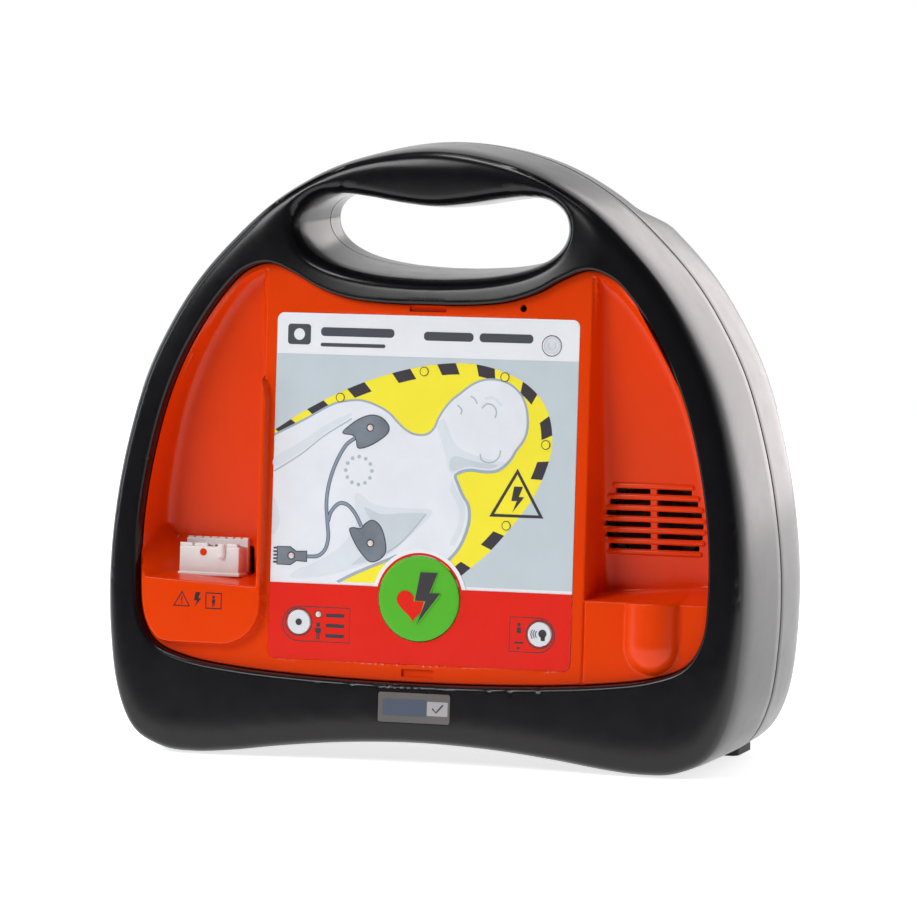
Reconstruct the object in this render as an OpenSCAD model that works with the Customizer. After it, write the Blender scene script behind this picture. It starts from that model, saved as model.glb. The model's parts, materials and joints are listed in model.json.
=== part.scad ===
// Ring-handled automated external defibrillator, built up from its separate pieces.
// Millimetres. +X is to the right of someone facing the control panel, +Y points to the back, +Z is up.
// The origin lies on the table top, under the middle of the case.

/* [Case] */
// Width of the case at the parting joint
case_w = 279; // [272:1:286]
// Height from the table to the top of the handle
case_h = 252; // [246:1:258]
// Distance from the middle of the case to the back face
back_y = 50; // [48:1:54]
// Y of the joint between the front and the rear shell
parting_y = 8; // [6:1:10]
// Wall thickness of both shells
wall = 2.8; // [2.4:0.1:3.2]
// Angle by which the front face leans back
lean = 5.13; // [4.5:0.01:6]
// How far the rim's crown stands in front of the panel face
crown = 4.8; // [4:0.1:5.5]

/* [Control panel] */
// Half width of the raised centre that carries the label
centre_half = 70.5; // [69:0.5:72]
// Depth of the side bays at their shelves
bay_deep = 22; // [18:1:23]
// Depth of the side bays at their upper ends
bay_shallow = 5; // [3:1:7]
// Height of the shelves, along the leaning face
shelf_v = 71; // [68:1:74]
// Total depth of the panel moulding
panel_depth = 25; // [25:0.5:26]
// Thickness of the panel's walls
panel_wall = 2.5; // [2:0.1:2.8]

/* [Label and buttons] */
// Width of the printed foil
label_w = 130.6; // [126:0.2:132]
// Height of the printed foil
label_h = 142; // [140:0.5:143]
// Radius of the shock button
shock_r = 17.4; // [15:0.1:19]
// Travel of the shock button
shock_travel = 1.2; // [0.8:0.1:1.6]
// Radius of the two small buttons
small_r = 5; // [4:0.1:5.5]
// Travel of the small buttons
small_travel = 0.8; // [0.5:0.1:1]
// Radius of the power key
power_r = 4; // [3.5:0.1:4.5]
// Gap all round a button
button_gap = 0.35; // [0.25:0.05:0.5]

/* [Battery] */
// Width of the battery pack
battery_w = 124; // [110:1:128]
// Height of the battery pack
battery_h = 70; // [64:1:74]
// Depth of the battery pack
battery_d = 34; // [32:1:36]

/* [Electronics] */
// Radius of the energy storage capacitor
capacitor_r = 18.5; // [16:0.5:19]
// Length of the energy storage capacitor
capacitor_len = 92; // [70:1:96]
// Radius of the speaker
speaker_r = 20; // [17:0.5:21]

/* [Hidden] */
$fn = 48;

black = [0.13, 0.13, 0.15];
orange = [0.91, 0.29, 0.04];
board_green = [0.10, 0.38, 0.22];
rubber_grey = [0.10, 0.10, 0.10];
steel = [0.75, 0.76, 0.78];
copper = [0.80, 0.50, 0.30];

// Outline of the case at the joint, right half, from the top middle to the bottom middle.
case_half = [[0, 251.6], [24, 249], [47, 242], [69, 229.5], [87, 213.7], [102.5, 196.5], [115, 177],
             [125, 155.5], [132.5, 129], [137.2, 103], [139.4, 76], [138.5, 49], [134.7, 25], [126.2, 8.8],
             [112, 1.6], [97, 0.3], [80, 1.5], [60, 4], [38, 6.2], [18, 7.4], [0, 7.8]];
// Edge of the front opening on the leaning face, right half.
opening_half = [[0, 188], [18, 188.2], [34, 189.8], [47, 193.8], [58, 199.6], [69, 203.4], [79.5, 200.2],
                [88, 192], [97, 179.5], [106, 163.3], [113.5, 144], [119.3, 120], [122.6, 97], [123.3, 75],
                [121.6, 57], [114.5, 45.5], [100, 39.8], [80, 36.8], [55, 34.9], [28, 33.9], [0, 33.6]];
// Edge of the handle opening at the front, right half, with the grip's finger swell at the top.
handle_half = [[0, 226.8], [14, 228], [28, 230.2], [40, 231.4], [49.5, 230], [56, 225.2], [58.2, 218.4],
               [56, 211.4], [49.6, 205.6], [39, 201.2], [24, 198.4], [8, 197.3], [0, 197.2]];
// Shallow zone behind the handle, right half: its lower edge is where the deep body begins.
handle_back_half = [[0, 290], [40, 290], [78, 275], [81, 252], [78, 238], [73.5, 227], [68.5, 216.5],
                    [62, 208], [53, 200.5], [42, 194.8], [28, 191.4], [14, 190.2], [0, 190]];

case_x = case_w / 279;
case_z = case_h / 251.6;
face_y = crown - 50.8;
label_low = 41.2;
label_step = 0.5;
shock_v = 68;
child_at = [-52.1, 56.4];
info_at = [52.1, 55.7];
power_at = [53.6, 172.5];
mic_at = [41, 187.3];
status_at = [[-23.4, 137], [-21.9, 89.8], [-56.3, 83.4], [-43.7, 59.8]];
marker_at = [[-36.9, 148.9], [-0.8, 160.6], [34, 159.3], [52.3, 132.4], [36.4, 99.1]];
button_front = -0.9;
button_flange = panel_wall + label_step + 0.2;
power_travel = 0.6;
board_depth = 9.4;
board_t = 1.6;
switch_top = board_depth - 1.9;
keypad_post_at = [for (sx = [-1, 1], v = [48, 150]) [sx * 60, v]];
lcd_at = [0.6, 23.6];
lcd_size = [31, 12.2];
lcd_step = 1.2;
panel_screw_at = [for (s = [-1, 1], p = [[62, 191], [105, 140], [112.5, 58]]) [s * p[0], p[1]]];
shell_screw_at = [for (s = [-1, 1], p = [[80, 213], [112.3, 165], [129.3, 72], [70, 17]]) [s * p[0], p[1]]];
flange_depth = panel_depth + 0.2;
grille_at = [93.5, 103.5];
grille_pitch = 4.5;
bay_top_v = 200;
floor_slope = atan((bay_deep - bay_shallow) / (bay_top_v - shelf_v));
socket_x = -96;
socket_v = shelf_v + 2.3;
socket_w = 26.5;
battery_low = 22;
battery_gap = 0.4;
bay_wall = 2;
handle_back_y = back_y - 24;
foot_x = 99;
plate_y = 2;
plate_t = 3;
main_y = -4;
main_size = [128, 120];
main_low = 46;
standoff_at = [for (sx = [-1, 1], z = [main_low + 6, main_low + main_size[1] - 6]) [sx * 58, z]];
plate_back = plate_y + plate_t;
pillar_at = [for (sx = [-1, 1], z = [40, 148]) [sx * 95, z]];
capacitor_at = [-14, 27, 148];
transformer_at = [72, plate_back + 15, 150];
relay_at = [-84, plate_back + 12, 118];
heatsink_at = [82, plate_back + 12, 112];

// ---- Outlines ----

// The whole closed outline from its right half.
function mirrored(half) =
    concat(half, [for (i = [len(half) - 2 : -1 : 1]) [-half[i][0], half[i][1]]]);

// A point between b and c on the smooth curve through a, b, c and d.
function curve_point(a, b, c, d, t) =
    0.5 * (2 * b + (c - a) * t + (2 * a - 5 * b + 4 * c - d) * t * t + (3 * b - a - 3 * c + d) * t * t * t);

// A closed smooth curve through the points p, with the given steps between neighbours.
function smooth(p, steps) =
    let (n = len(p))
    [for (i = [0 : n - 1], s = [0 : steps - 1])
        curve_point(p[(i + n - 1) % n], p[i], p[(i + 1) % n], p[(i + 2) % n], s / steps)];

// The outline moved inwards by d, or outwards where d is negative. The outlines run clockwise.
function inset(p, d) =
    let (n = len(p))
    [for (i = [0 : n - 1])
        let (run = p[(i + 1) % n] - p[(i + n - 1) % n], side = [run[1], -run[0]] / norm(run))
        p[i] + d * side];

case_outline = smooth([for (p = mirrored(case_half)) [p[0] * case_x, p[1] * case_z]], 3);
opening_outline = smooth(mirrored(opening_half), 3);
handle_outline = smooth([for (p = mirrored(handle_half)) [p[0], p[1] * case_z]], 3);
handle_back_outline = smooth([for (p = mirrored(handle_back_half)) [p[0], p[1] * case_z]], 3);

// Y of the leaning crown plane at height z.
function crown_y(z) = face_y - crown + tan(lean) * z;

// One ring of a front shell surface: the outline moved in, and its share of the way from joint to crown.
function front_ring(outline, move, share, lift = 0) =
    [for (p = inset(outline, move + (lift > 0 ? wall : 0)))
        [p[0], parting_y + share * (crown_y(p[1]) + lift - parting_y), settled(p[1], move)]];

// Height of a point that has moved in: the case's underside stays low almost to the front.
function settled(z, move) = z - 0.85 * min(move, 3) * max(0, 1 - z / 30);

// One ring at a constant Y.
function flat_ring(outline, move, y) = [for (p = inset(outline, move)) [p[0], y, p[1]]];

function middle(ring) = [for (k = [0 : 2]) (min([for (p = ring) p[k]]) + max([for (p = ring) p[k]])) / 2];

// ---- Shared shapes ----

// A closed skin over a stack of rings, each end closed from its middle.
module loft(rings) {
    n = len(rings[0]);
    m = len(rings);
    backwards = rings[m - 1][0][1] > rings[0][0][1];
    sides = [for (j = [0 : m - 2], i = [0 : n - 1])
        let (a = j * n + i, b = j * n + (i + 1) % n)
        each [[a, b, b + n], [a, b + n, a + n]]];
    near_end = [for (i = [0 : n - 1]) [m * n, (i + 1) % n, i]];
    far_end = [for (i = [0 : n - 1]) [m * n + 1, (m - 1) * n + i, (m - 1) * n + (i + 1) % n]];
    skin = concat(sides, near_end, far_end);
    polyhedron(
        points = concat([for (r = rings) each r], [middle(rings[0]), middle(rings[m - 1])]),
        faces = backwards ? [for (f = skin) [f[2], f[1], f[0]]] : skin);
}

// Places children drawn as (across, depth behind the face, up the face).
module on_face() translate([0, face_y, 0]) rotate([-lean, 0, 0]) children();

// Extrudes a 2D shape drawn as (across, up) from one depth to another.
module deep(from, to) translate([0, to, 0]) rotate([90, 0, 0]) linear_extrude(to - from) children();

// A round bar along the depth direction.
module rod(r, from, to, at = [0, 0])
    translate([at[0], to, at[1]]) rotate([90, 0, 0]) cylinder(r = r, h = to - from);

// A ring along the depth direction.
module tube(r_out, r_in, from, to, at = [0, 0]) difference() {
    rod(r_out, from, to, at);
    rod(r_in, from - 1, to + 1, at);
}

// A rectangle with round corners about its middle.
module round_rect(size, r) {
    square([size[0] - 2 * r, size[1]], center = true);
    square([size[0], size[1] - 2 * r], center = true);
    for (sx = [-1, 1], sy = [-1, 1])
        translate([sx * (size[0] / 2 - r), sy * (size[1] / 2 - r)]) circle(r);
}

// A box from its low corner to its high corner.
module box(low, high) translate(low) cube(high - low);

// A screw along Y, its head at the high end, its thread towards -Y.
module screw(head_r, head_h, thread_r, thread_l) {
    difference() {
        rod(head_r, 0, head_h);
        rod(head_r * 0.4, head_h * 0.4, head_h + 1, [0, 0]);
    }
    rod(thread_r, -thread_l, 0);
}

// A close-wound spring as a stack of rings along the depth direction.
module ring_spring(r, wire, from, to) {
    turns = floor((to - from) / (wire * 1.6));
    pitch = (to - from) / turns;
    for (i = [0 : turns - 1])
        tube(r, r - wire, from + i * pitch, from + i * pitch + wire);
    rod_at = r - wire / 2;
    for (a = [0, 180])
        rod(wire * 0.3, from, from + (turns - 1) * pitch + wire, [rod_at * cos(a), rod_at * sin(a)]);
}

// ---- Case ----

// Round shoulder of the front shell: how far the skin is moved in, and its share of the way forward.
front_shoulder = [[0.4, 0], [0, 0.015], [0.5, 0.35], [1.3, 0.68], [2.9, 0.85], [5.4, 0.95], [9, 1]];
// Round shoulder of the rear shell: how far the skin is moved in, and its distance from the back face.
rear_shoulder = [[0.9, 14], [2.6, 6], [5.6, 2], [11, 0]];

module front_outer() loft([for (s = front_shoulder) front_ring(case_outline, s[0], s[1])]);

module front_inner() loft(concat(
    [flat_ring(case_outline, wall + 0.4, parting_y + 1)],
    [for (s = [[0.4, 0.2], [1.3, 0.7], [3.6, 0.92], [8, 1]])
        front_ring(case_outline, s[0], s[1], wall)]));

// The space behind the handle, which the deep body slopes away from.
module handle_back_space(grow = 0) loft([
    flat_ring(handle_back_outline, -grow, handle_back_y - grow),
    flat_ring(handle_back_outline, -grow - 3, handle_back_y + 4 - grow),
    flat_ring(handle_back_outline, -grow - 10, back_y - 3 - grow),
    flat_ring(handle_back_outline, -grow - 14, back_y + 5)]);

module rear_outer() difference() {
    loft(concat(
        [flat_ring(case_outline, 0.4, parting_y), flat_ring(case_outline, 0, parting_y + 0.6)],
        [for (s = rear_shoulder) flat_ring(case_outline, s[0], back_y - s[1])]));
    handle_back_space();
}

module rear_inner() difference() {
    loft(concat(
        [flat_ring(case_outline, wall + 0.4, parting_y - 1)],
        [for (s = rear_shoulder) flat_ring(case_outline, wall + s[0], back_y - wall - s[1])]));
    handle_back_space(wall);
}

// The through hole of the handle: widest at both outer faces, narrowest at the joint.
module handle_space(grow = 0) loft([
    [for (p = inset(handle_outline, -grow - 4.2)) [p[0], crown_y(p[1]) - 1, p[1]]],
    [for (p = inset(handle_outline, -grow - 1.2)) [p[0], crown_y(p[1]) + 3, p[1]]],
    [for (p = inset(handle_outline, -grow)) [p[0], crown_y(p[1]) + 7, p[1]]],
    flat_ring(handle_outline, 1.8 - grow, parting_y),
    flat_ring(handle_outline, 1.6 - grow, parting_y + 14),
    flat_ring(handle_outline, -1.6 - grow, parting_y + 19),
    flat_ring(handle_outline, -4 - grow, parting_y + 30)]);

// The walls that the handle opening keeps inside the case.
module handle_walls(from, to) intersection() {
    loft([flat_ring(handle_outline, -wall - 5.5, from), flat_ring(handle_outline, -wall, parting_y),
          flat_ring(handle_outline, -wall - 5.5, to)]);
    box([-100, from, 180], [100, to, 240]);
}

module rear_bosses() for (p = shell_screw_at) rod(5.2, parting_y - 1, back_y, p);

module front_bosses() for (p = shell_screw_at) rod(4.6, -60, parting_y + 1, p);

module battery_space(grow) box(
    [-battery_w / 2 - grow, back_y - battery_d - grow, battery_low - grow],
    [battery_w / 2 + grow, back_y + 5, battery_low + battery_h + grow]);

module foot_pair(size, at) for (s = [-1, 1])
    translate([s * at[0], at[1], 0]) linear_extrude(size[2]) round_rect([size[0], size[1]], 3);

module front_shell() color(black) difference() {
    front_outer();
    difference() {
        front_inner();
        handle_walls(-60, parting_y + 1);
        front_bosses();
        on_face() deep(-10, flange_depth + 2) polygon(inset(opening_outline, -2.4));
    }
    on_face() {
        deep(-20, flange_depth) polygon(opening_outline);
        deep(flange_depth - 0.1, flange_depth + 3) difference() {
            polygon(inset(opening_outline, 5.5));
            for (p = panel_screw_at) translate(p) circle(6.2);
        }
        for (p = panel_screw_at) rod(1.7, flange_depth - 2, flange_depth + 3, p);
        translate([lcd_at[0], 0, lcd_at[1]]) {
            deep(-20, lcd_step - crown) round_rect(lcd_size + [0.3, 0.3], 1.2);
            deep(-20, 10) square([27, 8.6], center = true);
        }
    }
    // Sloped inner side of the rim around the opening.
    on_face() loft([for (s = [[0, 0.2], [-0.3, -3.4], [-1.9, -crown - 1]])
        [for (p = inset(opening_outline, s[0])) [p[0], s[1], p[1]]]]);
    handle_space();
    for (p = shell_screw_at) rod(1.6, parting_y - 12, parting_y + 2, p);
    foot_pair([20.2, 18.2, 2.3], [foot_x, -12]);
}

module rear_shell() color(black) difference() {
    rear_outer();
    difference() {
        rear_inner();
        handle_walls(parting_y - 1, back_y);
        rear_bosses();
        battery_space(battery_gap + bay_wall);
    }
    handle_space();
    battery_space(battery_gap);
    for (p = shell_screw_at) {
        rod(2, parting_y - 2, back_y + 2, p);
        rod(3.8, parting_y + 6, back_y + 2, p);
    }
    // Seal groove in the joint face.
    translate([0, parting_y, 0]) deep(-1, 1) difference() {
        polygon(inset(case_outline, 1.2));
        polygon(inset(case_outline, 2.2));
    }
    foot_pair([24.2, 22.2, 6.1], [foot_x + 6, 32]);
    // Windows for the battery contacts in the bay's inner wall.
    for (s = [-1, 1]) box([s * 30 - 4, 0, 80], [s * 30 + 4, back_y - battery_d, 86]);
}

module case_seal() color(rubber_grey) translate([0, parting_y, 0]) deep(0, 0.95) difference() {
    polygon(inset(case_outline, 1.25));
    polygon(inset(case_outline, 2.15));
}

module front_feet() color(rubber_grey) foot_pair([20, 18, 2.2], [foot_x, -12]);

module rear_feet() color(rubber_grey) foot_pair([24, 22, 6], [foot_x + 6, 32]);

module shell_screws() color(steel) for (p = shell_screw_at)
    translate([p[0], parting_y + 6, p[1]]) screw(3.4, 2.6, 1.5, 16);

module panel_screws() color(steel) on_face() for (p = panel_screw_at)
    translate([p[0], flange_depth + 2, p[1]]) screw(2.8, 2, 1.3, 8);

// ---- Control panel ----

// One side bay as empty space, or grown by the panel's wall. side is -1 on the left and 1 on the right.
module bay_space(side, grow) intersection() {
    deep(-1, panel_depth + 5) intersection() {
        polygon(inset(opening_outline, grow > 0 ? 0 : panel_wall));
        translate([side * (centre_half - grow + 100), 150]) square([200, 300], center = true);
    }
    // Sloping floor.
    rotate([90, 0, 90]) translate([0, 0, -200]) linear_extrude(400)
        polygon([[-2, 0], [bay_deep + grow, 0],
                 [bay_deep + grow, shelf_v], [bay_shallow + grow, bay_top_v],
                 [bay_shallow + grow - 1, 230], [-2, 230]]);
    // Shelf: falls a little towards the front and towards the middle.
    translate([side * centre_half, 0, shelf_v - 1 - grow]) rotate([10, -side * 5, 0])
        translate([-100, -20, 0]) cube([200, 80, 200]);
}

// The block under the connector, standing proud of the panel, and the half-round bulge on the right.
module left_block() deep(-3.8, 1) intersection() {
    hull() {
        translate([-114, 71]) square([10, 1], center = true);
        translate([-71, 70.4]) square([6, 1], center = true);
        translate([-82, 59.4]) circle(14, $fn = 32);
        translate([-104, 59.4]) circle(14, $fn = 32);
    }
    polygon(inset(opening_outline, 0.8));
}

module right_bulge() translate([99.5, 5, 0]) {
    translate([0, 0, 52.8]) intersection() {
        cylinder(r = 12.4, h = 18);
        translate([-20, -13, 0]) cube([40, 9, 40]);
    }
    translate([0, 0, 52.8]) intersection() {
        sphere(12.4);
        translate([-20, -13, -20]) cube([40, 9, 20]);
    }
}

// Ribs of the speaker grille, each following the round outline of the group.
module grille_ribs() for (i = [-3 : 3]) {
    half = 22.4 - 0.36 * pow(i - 0.7, 2);
    translate([grille_at[0], 0, grille_at[1] - i * grille_pitch]) for (s = [-1, 1])
        translate([0, bay_floor(grille_at[1] - i * grille_pitch), 0]) rotate([0, 90, 0])
            cylinder(r = 1.1, h = half * 2, center = true);
}

// Depth of the bay floor at height v.
function bay_floor(v) = bay_deep - (v - shelf_v) * tan(floor_slope);

module grille_slots() for (i = [-3 : 2], s = [-1, 1]) {
    half = 20.8 - 0.5 * pow(i - 0.1, 2);
    translate([grille_at[0] + s * (half / 2 + 0.7), 15, grille_at[1] - (i + 0.5) * grille_pitch])
        cube([half - 1.3, 30, 2.1], center = true);
}

module control_panel() color(orange) on_face() difference() {
    union() {
        difference() {
            deep(0, panel_depth) polygon(inset(opening_outline, 0.3));
            for (s = [-1, 1]) bay_space(s, 0);
            difference() {
                deep(panel_wall + label_step, panel_depth + 1)
                    polygon(inset(opening_outline, panel_wall + 0.3));
                for (s = [-1, 1]) bay_space(s, panel_wall);
                for (p = panel_screw_at) rod(3.6, panel_wall, panel_depth + 2, p);
                for (p = keypad_post_at) rod(2.4, panel_wall, board_depth, p);
            }
            grille_slots();
        }
        left_block();
        right_bulge();
        grille_ribs();
    }
    deep(-1, label_step) translate([0, label_low + label_h / 2])
        round_rect([label_w + 0.4, label_h + 0.4], 3.2);
    rod(shock_r + button_gap, -1, 8, [0, shock_v]);
    for (p = [child_at, info_at]) rod(small_r + button_gap, -1, 8, p);
    rod(power_r + button_gap, -1, 8, power_at);
    rod(1.5, -1, 6, mic_at);
    rod(3.1, panel_wall + label_step, panel_wall + label_step + 3.1, mic_at);
    for (p = concat(status_at, marker_at)) rod(1.65, -1, 6, p);
    for (p = panel_screw_at) rod(1.4, panel_depth - 7.5, panel_depth + 2, p);
    // Pockets of the lid's two keepers.
    translate([-8, -1, 184.9]) cube([16, 7, 3.2]);
    translate([-7, -1, 35.6]) cube([14, 7, 3.4]);
    // Slot for the connector's locking tongue, and the way through for the socket's contacts.
    translate([-82.9, 10, shelf_v + 3]) cube([2.4, 18, 12]);
    translate([socket_x - 9.6, 12.4, shelf_v - 12]) cube([19.2, 4.2, 24]);
    // Holes of the keypad board's screws, and the seat of the electrode socket.
    for (p = keypad_post_at) rod(1.15, 5, board_depth + 1, p);
    socket_body(0.1);
    // Fine grooves beside the centre.
    for (s = [-1, 1]) translate([s * centre_half - 0.4, -1, 37]) cube([0.8, 1.7, shelf_v - 37]);
}

module label_foil() color([0.93, 0.94, 0.96]) on_face() difference() {
    deep(0, label_step) translate([0, label_low + label_h / 2]) round_rect([label_w, label_h], 3);
    rod(shock_r + button_gap, -1, 3, [0, shock_v]);
    for (p = [child_at, info_at]) rod(small_r + button_gap, -1, 3, p);
    rod(power_r + button_gap, -1, 3, power_at);
    for (p = concat(status_at, marker_at)) rod(1.65, -1, 3, p);
}

// A button: crowned cap, collar behind the panel, and a stem that ends its travel above its switch.
module button(r, at, front, travel) {
    rod(r, front + 0.4, button_flange + 1, at);
    translate([at[0], front + 0.4, at[1]]) rotate([90, 0, 0]) cylinder(r1 = r, r2 = r - 0.8, h = 0.4);
    rod(r + 1.3, button_flange, button_flange + 1, at);
    rod(min(r * 0.5, 3), button_flange, switch_top - travel - 0.1, at);
}

module shock_button() color([0.35, 0.72, 0.17])
    on_face() button(shock_r, [0, shock_v], button_front, shock_travel);

module child_button() color([0.86, 0.87, 0.88]) on_face() button(small_r, child_at, -0.6, small_travel);

module info_button() color([0.86, 0.87, 0.88]) on_face() button(small_r, info_at, -0.6, small_travel);

module power_key() color([0.80, 0.83, 0.86]) on_face() button(power_r, power_at, -0.3, power_travel);

module shock_spring() color(steel) on_face() translate([0, 0, shock_v])
    ring_spring(12, 0.8, button_flange + 1, board_depth);

module small_springs() color(steel) on_face() for (p = [child_at, info_at, power_at])
    translate([p[0], 0, p[1]]) ring_spring(4.6, 0.5, button_flange + 1, board_depth);

module keypad_board() color(board_green) on_face() difference() {
    deep(board_depth, board_depth + board_t) translate([0, 112]) round_rect([128, 138], 3);
    for (p = keypad_post_at) rod(1.3, 5, 15, p);
}

module key_switches() color([0.15, 0.15, 0.16]) on_face()
    for (p = [[0, shock_v], child_at, info_at, power_at]) {
        translate([p[0], 0, p[1]]) deep(board_depth - 1.2, board_depth) square([5, 5], center = true);
        rod(1.4, switch_top, board_depth - 1.2, p);
    }

// A lens: a clear pin with a collar behind the panel.
module lens(at) {
    rod(1.55, -0.1, panel_wall + label_step, at);
    rod(2.3, panel_wall + label_step, panel_wall + label_step + 0.8, at);
}

module status_lenses() color([0.85, 0.35, 0.2]) on_face() for (p = status_at) lens(p);

module marker_lenses() color([0.95, 0.9, 0.5]) on_face() for (p = marker_at) lens(p);

module status_leds() color([0.9, 0.9, 0.85]) on_face() for (p = concat(status_at, marker_at))
    translate([p[0], board_depth - 1.1, p[1]]) {
        translate([-1.6, 0, -0.9]) cube([3.2, 1.1, 1.8]);
        rod(0.8, -0.5, 0);
    }

module microphone() color([0.25, 0.25, 0.27]) on_face() difference() {
    rod(3, panel_wall + label_step, panel_wall + label_step + 3, mic_at);
    rod(0.8, 0, panel_wall + label_step + 0.8, mic_at);
}

module lid_keepers() color([0.35, 0.12, 0.08]) on_face() {
    translate([-7.8, 1.2, 185.1]) cube([15.6, 4.6, 2.8]);
    translate([-6.8, 1.2, 35.8]) cube([13.6, 4.6, 3]);
}

// ---- Electrode socket ----

// The socket's two stepped blocks, or the same grown by a fitting gap.
module socket_body(gap = 0) {
    left = socket_x - socket_w / 2 - gap;
    right = socket_x + socket_w / 2 + gap;
    box([left, 8.5 - gap, socket_v - gap], [right, 18, socket_v + 13.6 + gap]);
    box([left - 0.5, 17 - gap, socket_v + 1.6 - gap], [right + 1.6, 20.2 + gap, socket_v + 16 + gap]);
}

module socket_block() color([0.94, 0.94, 0.93]) on_face() difference() {
    socket_body();
    // Keyway on the front and the row of contact chambers in the top.
    box([socket_x + 4.6, 7, socket_v + 8], [socket_x + 7.4, 10, socket_v + 20]);
    for (i = [-3 : 3]) translate([socket_x + i * 3.5, 13.6, socket_v + 4])
        cylinder(r = 1.3, h = 20);
    // Seat of the key dot.
    rod(1.55, 7, 9.3, [socket_x - 2.6, socket_v + 9.8]);
}

module socket_contacts() color([0.85, 0.7, 0.35]) on_face() for (i = [-2 : 2])
    translate([socket_x + i * 3.5, 13.6, 0]) {
        translate([0, 0, socket_v - 6]) cylinder(r = 0.6, h = 6);
        translate([0, 0, socket_v + 4]) cylinder(r = 0.8, h = 7);
    }

module socket_key_dot() color(orange) on_face() rod(1.5, 8.3, 9.3, [socket_x - 2.6, socket_v + 9.8]);

module socket_leads() color([0.75, 0.12, 0.10]) on_face() for (i = [-2, 2])
    translate([socket_x + i * 3.5, 13.6, socket_v - 18]) cylinder(r = 1.1, h = 12);

// ---- Status display ----

module lcd_window() color([0.66, 0.62, 0.60]) on_face() translate([lcd_at[0], 0, lcd_at[1]])
    deep(0.1 - crown, lcd_step - crown) round_rect(lcd_size, 1);

module lcd_module() color([0.38, 0.42, 0.47]) on_face() translate([lcd_at[0], 0, lcd_at[1]]) {
    deep(lcd_step - crown, lcd_step - crown + 3) square([26.6, 8.2], center = true);
}

module display_ribbon() color([0.85, 0.75, 0.55]) on_face() translate([lcd_at[0], 0, lcd_at[1]]) {
    // From the display's back along the rim, up behind the flange, and into the main board's connector.
    box([-6, lcd_step - crown + 3, -2], [6, lcd_step - crown + 3.4, 4]);
    box([-6, lcd_step - crown + 3.3, 3.6], [6, 29.9, 4]);
    box([-6, 29.5, 3.6], [6, 29.9, 37.4]);
    box([-6, 29.5, 37], [6, 31.6, 37.4]);
}

// ---- Speaker ----

// Places children behind the right bay's floor, across the floor.
module behind_grille() on_face()
    translate([grille_at[0], bay_floor(grille_at[1]) + panel_wall + 0.05, grille_at[1]])
        rotate([floor_slope, 0, 0]) children();

module speaker_gasket() color(rubber_grey) behind_grille() tube(speaker_r, speaker_r - 3, 0, 1);

module speaker_basket() color(steel) behind_grille() {
    tube(speaker_r, speaker_r - 2, 1, 3.4);
    difference() {
        translate([0, 7.4, 0]) rotate([90, 0, 0]) cylinder(r1 = 11, r2 = speaker_r - 1, h = 4.4);
        translate([0, 7.0, 0]) rotate([90, 0, 0]) cylinder(r1 = 10, r2 = speaker_r - 2.8, h = 4.2);
        rod(6, 0, 10);
    }
}

module speaker_cone() color([0.12, 0.12, 0.13]) behind_grille() difference() {
    translate([0, 5.2, 0]) rotate([90, 0, 0]) cylinder(r1 = 6, r2 = speaker_r - 3.2, h = 3.6);
    translate([0, 4.7, 0]) rotate([90, 0, 0]) cylinder(r1 = 5.4, r2 = speaker_r - 3.2, h = 3.6);
}

module speaker_magnet() color([0.3, 0.3, 0.32]) behind_grille() rod(10, 7.5, 12);

// ---- Electronics ----

module chassis() color([0.55, 0.56, 0.58]) {
    difference() {
        box([-100, plate_y, 30], [100, plate_back, 176]);
        for (x = [-56, 0, 56], z = [70, 130])
            translate([x, plate_y - 1, z]) rotate([-90, 0, 0]) linear_extrude(plate_t + 2)
                round_rect([38, 34], 6);
        for (p = standoff_at) rod(1.2, plate_y - 10, plate_y + 10, p);
    }
    for (p = standoff_at) tube(3.2, 1.2, main_y + board_t, plate_y, p);
    // Pillars that carry the plate on the rear shell.
    for (p = pillar_at) rod(4, plate_y + 1, back_y - wall, p);
}

module main_board() color(board_green) difference() {
    box([-main_size[0] / 2, main_y, main_low], [main_size[0] / 2, main_y + board_t, main_low + main_size[1]]);
    for (p = standoff_at) rod(1.6, main_y - 1, main_y + 4, p);
}

module board_parts() color([0.12, 0.12, 0.13]) {
    box([-14, main_y - 2, 100], [14, main_y, 128]);
    box([-48, main_y - 1.6, 120], [-30, main_y, 138]);
    box([26, main_y - 1.6, 84], [46, main_y, 96]);
    box([-50, main_y - 6, 56], [-26, main_y, 66]);
    box([-8, main_y - 5, 56], [16, main_y, 62]);
    for (i = [0 : 3]) rod(4, main_y - 9, main_y, [28 + (i % 2) * 12, 56 + floor(i / 2) * 12]);
    for (i = [0 : 5]) box([-46 + i * 9, main_y - 1.2, 76], [-41 + i * 9, main_y, 82]);
}

module board_screws() color(steel) {
    for (p = standoff_at) translate([p[0], main_y, p[1]]) rotate([0, 0, 180]) screw(2.6, 1.8, 1.1, 8);
    on_face() for (p = keypad_post_at) translate([p[0], board_depth + board_t, p[1]]) screw(2.3, 1.6, 1.1, 5);
}

module storage_capacitor() color([0.16, 0.28, 0.55]) translate(capacitor_at) rotate([0, 90, 0]) {
    cylinder(r = capacitor_r, h = capacitor_len, center = true);
    for (s = [-1, 1]) translate([0, 0, s * (capacitor_len / 2 + 2)]) cylinder(r = 3, h = 4, center = true);
}

module capacitor_strap() color([0.85, 0.85, 0.82]) for (s = [-1, 1])
    translate(capacitor_at + [s * 26, 0, 0]) rotate([0, 90, 0]) difference() {
        union() {
            cylinder(r = capacitor_r + 1.4, h = 8, center = true);
            translate([-6, plate_back - capacitor_at[1], -4]) cube([12, 8, 8]);
        }
        cylinder(r = capacitor_r + 0.1, h = 10, center = true);
    }

module charge_transformer() color([0.30, 0.28, 0.27]) translate(transformer_at) difference() {
    cube([34, 30, 34], center = true);
    for (s = [-1, 1]) translate([s * 9, 0, 0]) cube([8, 40, 22], center = true);
}

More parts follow.
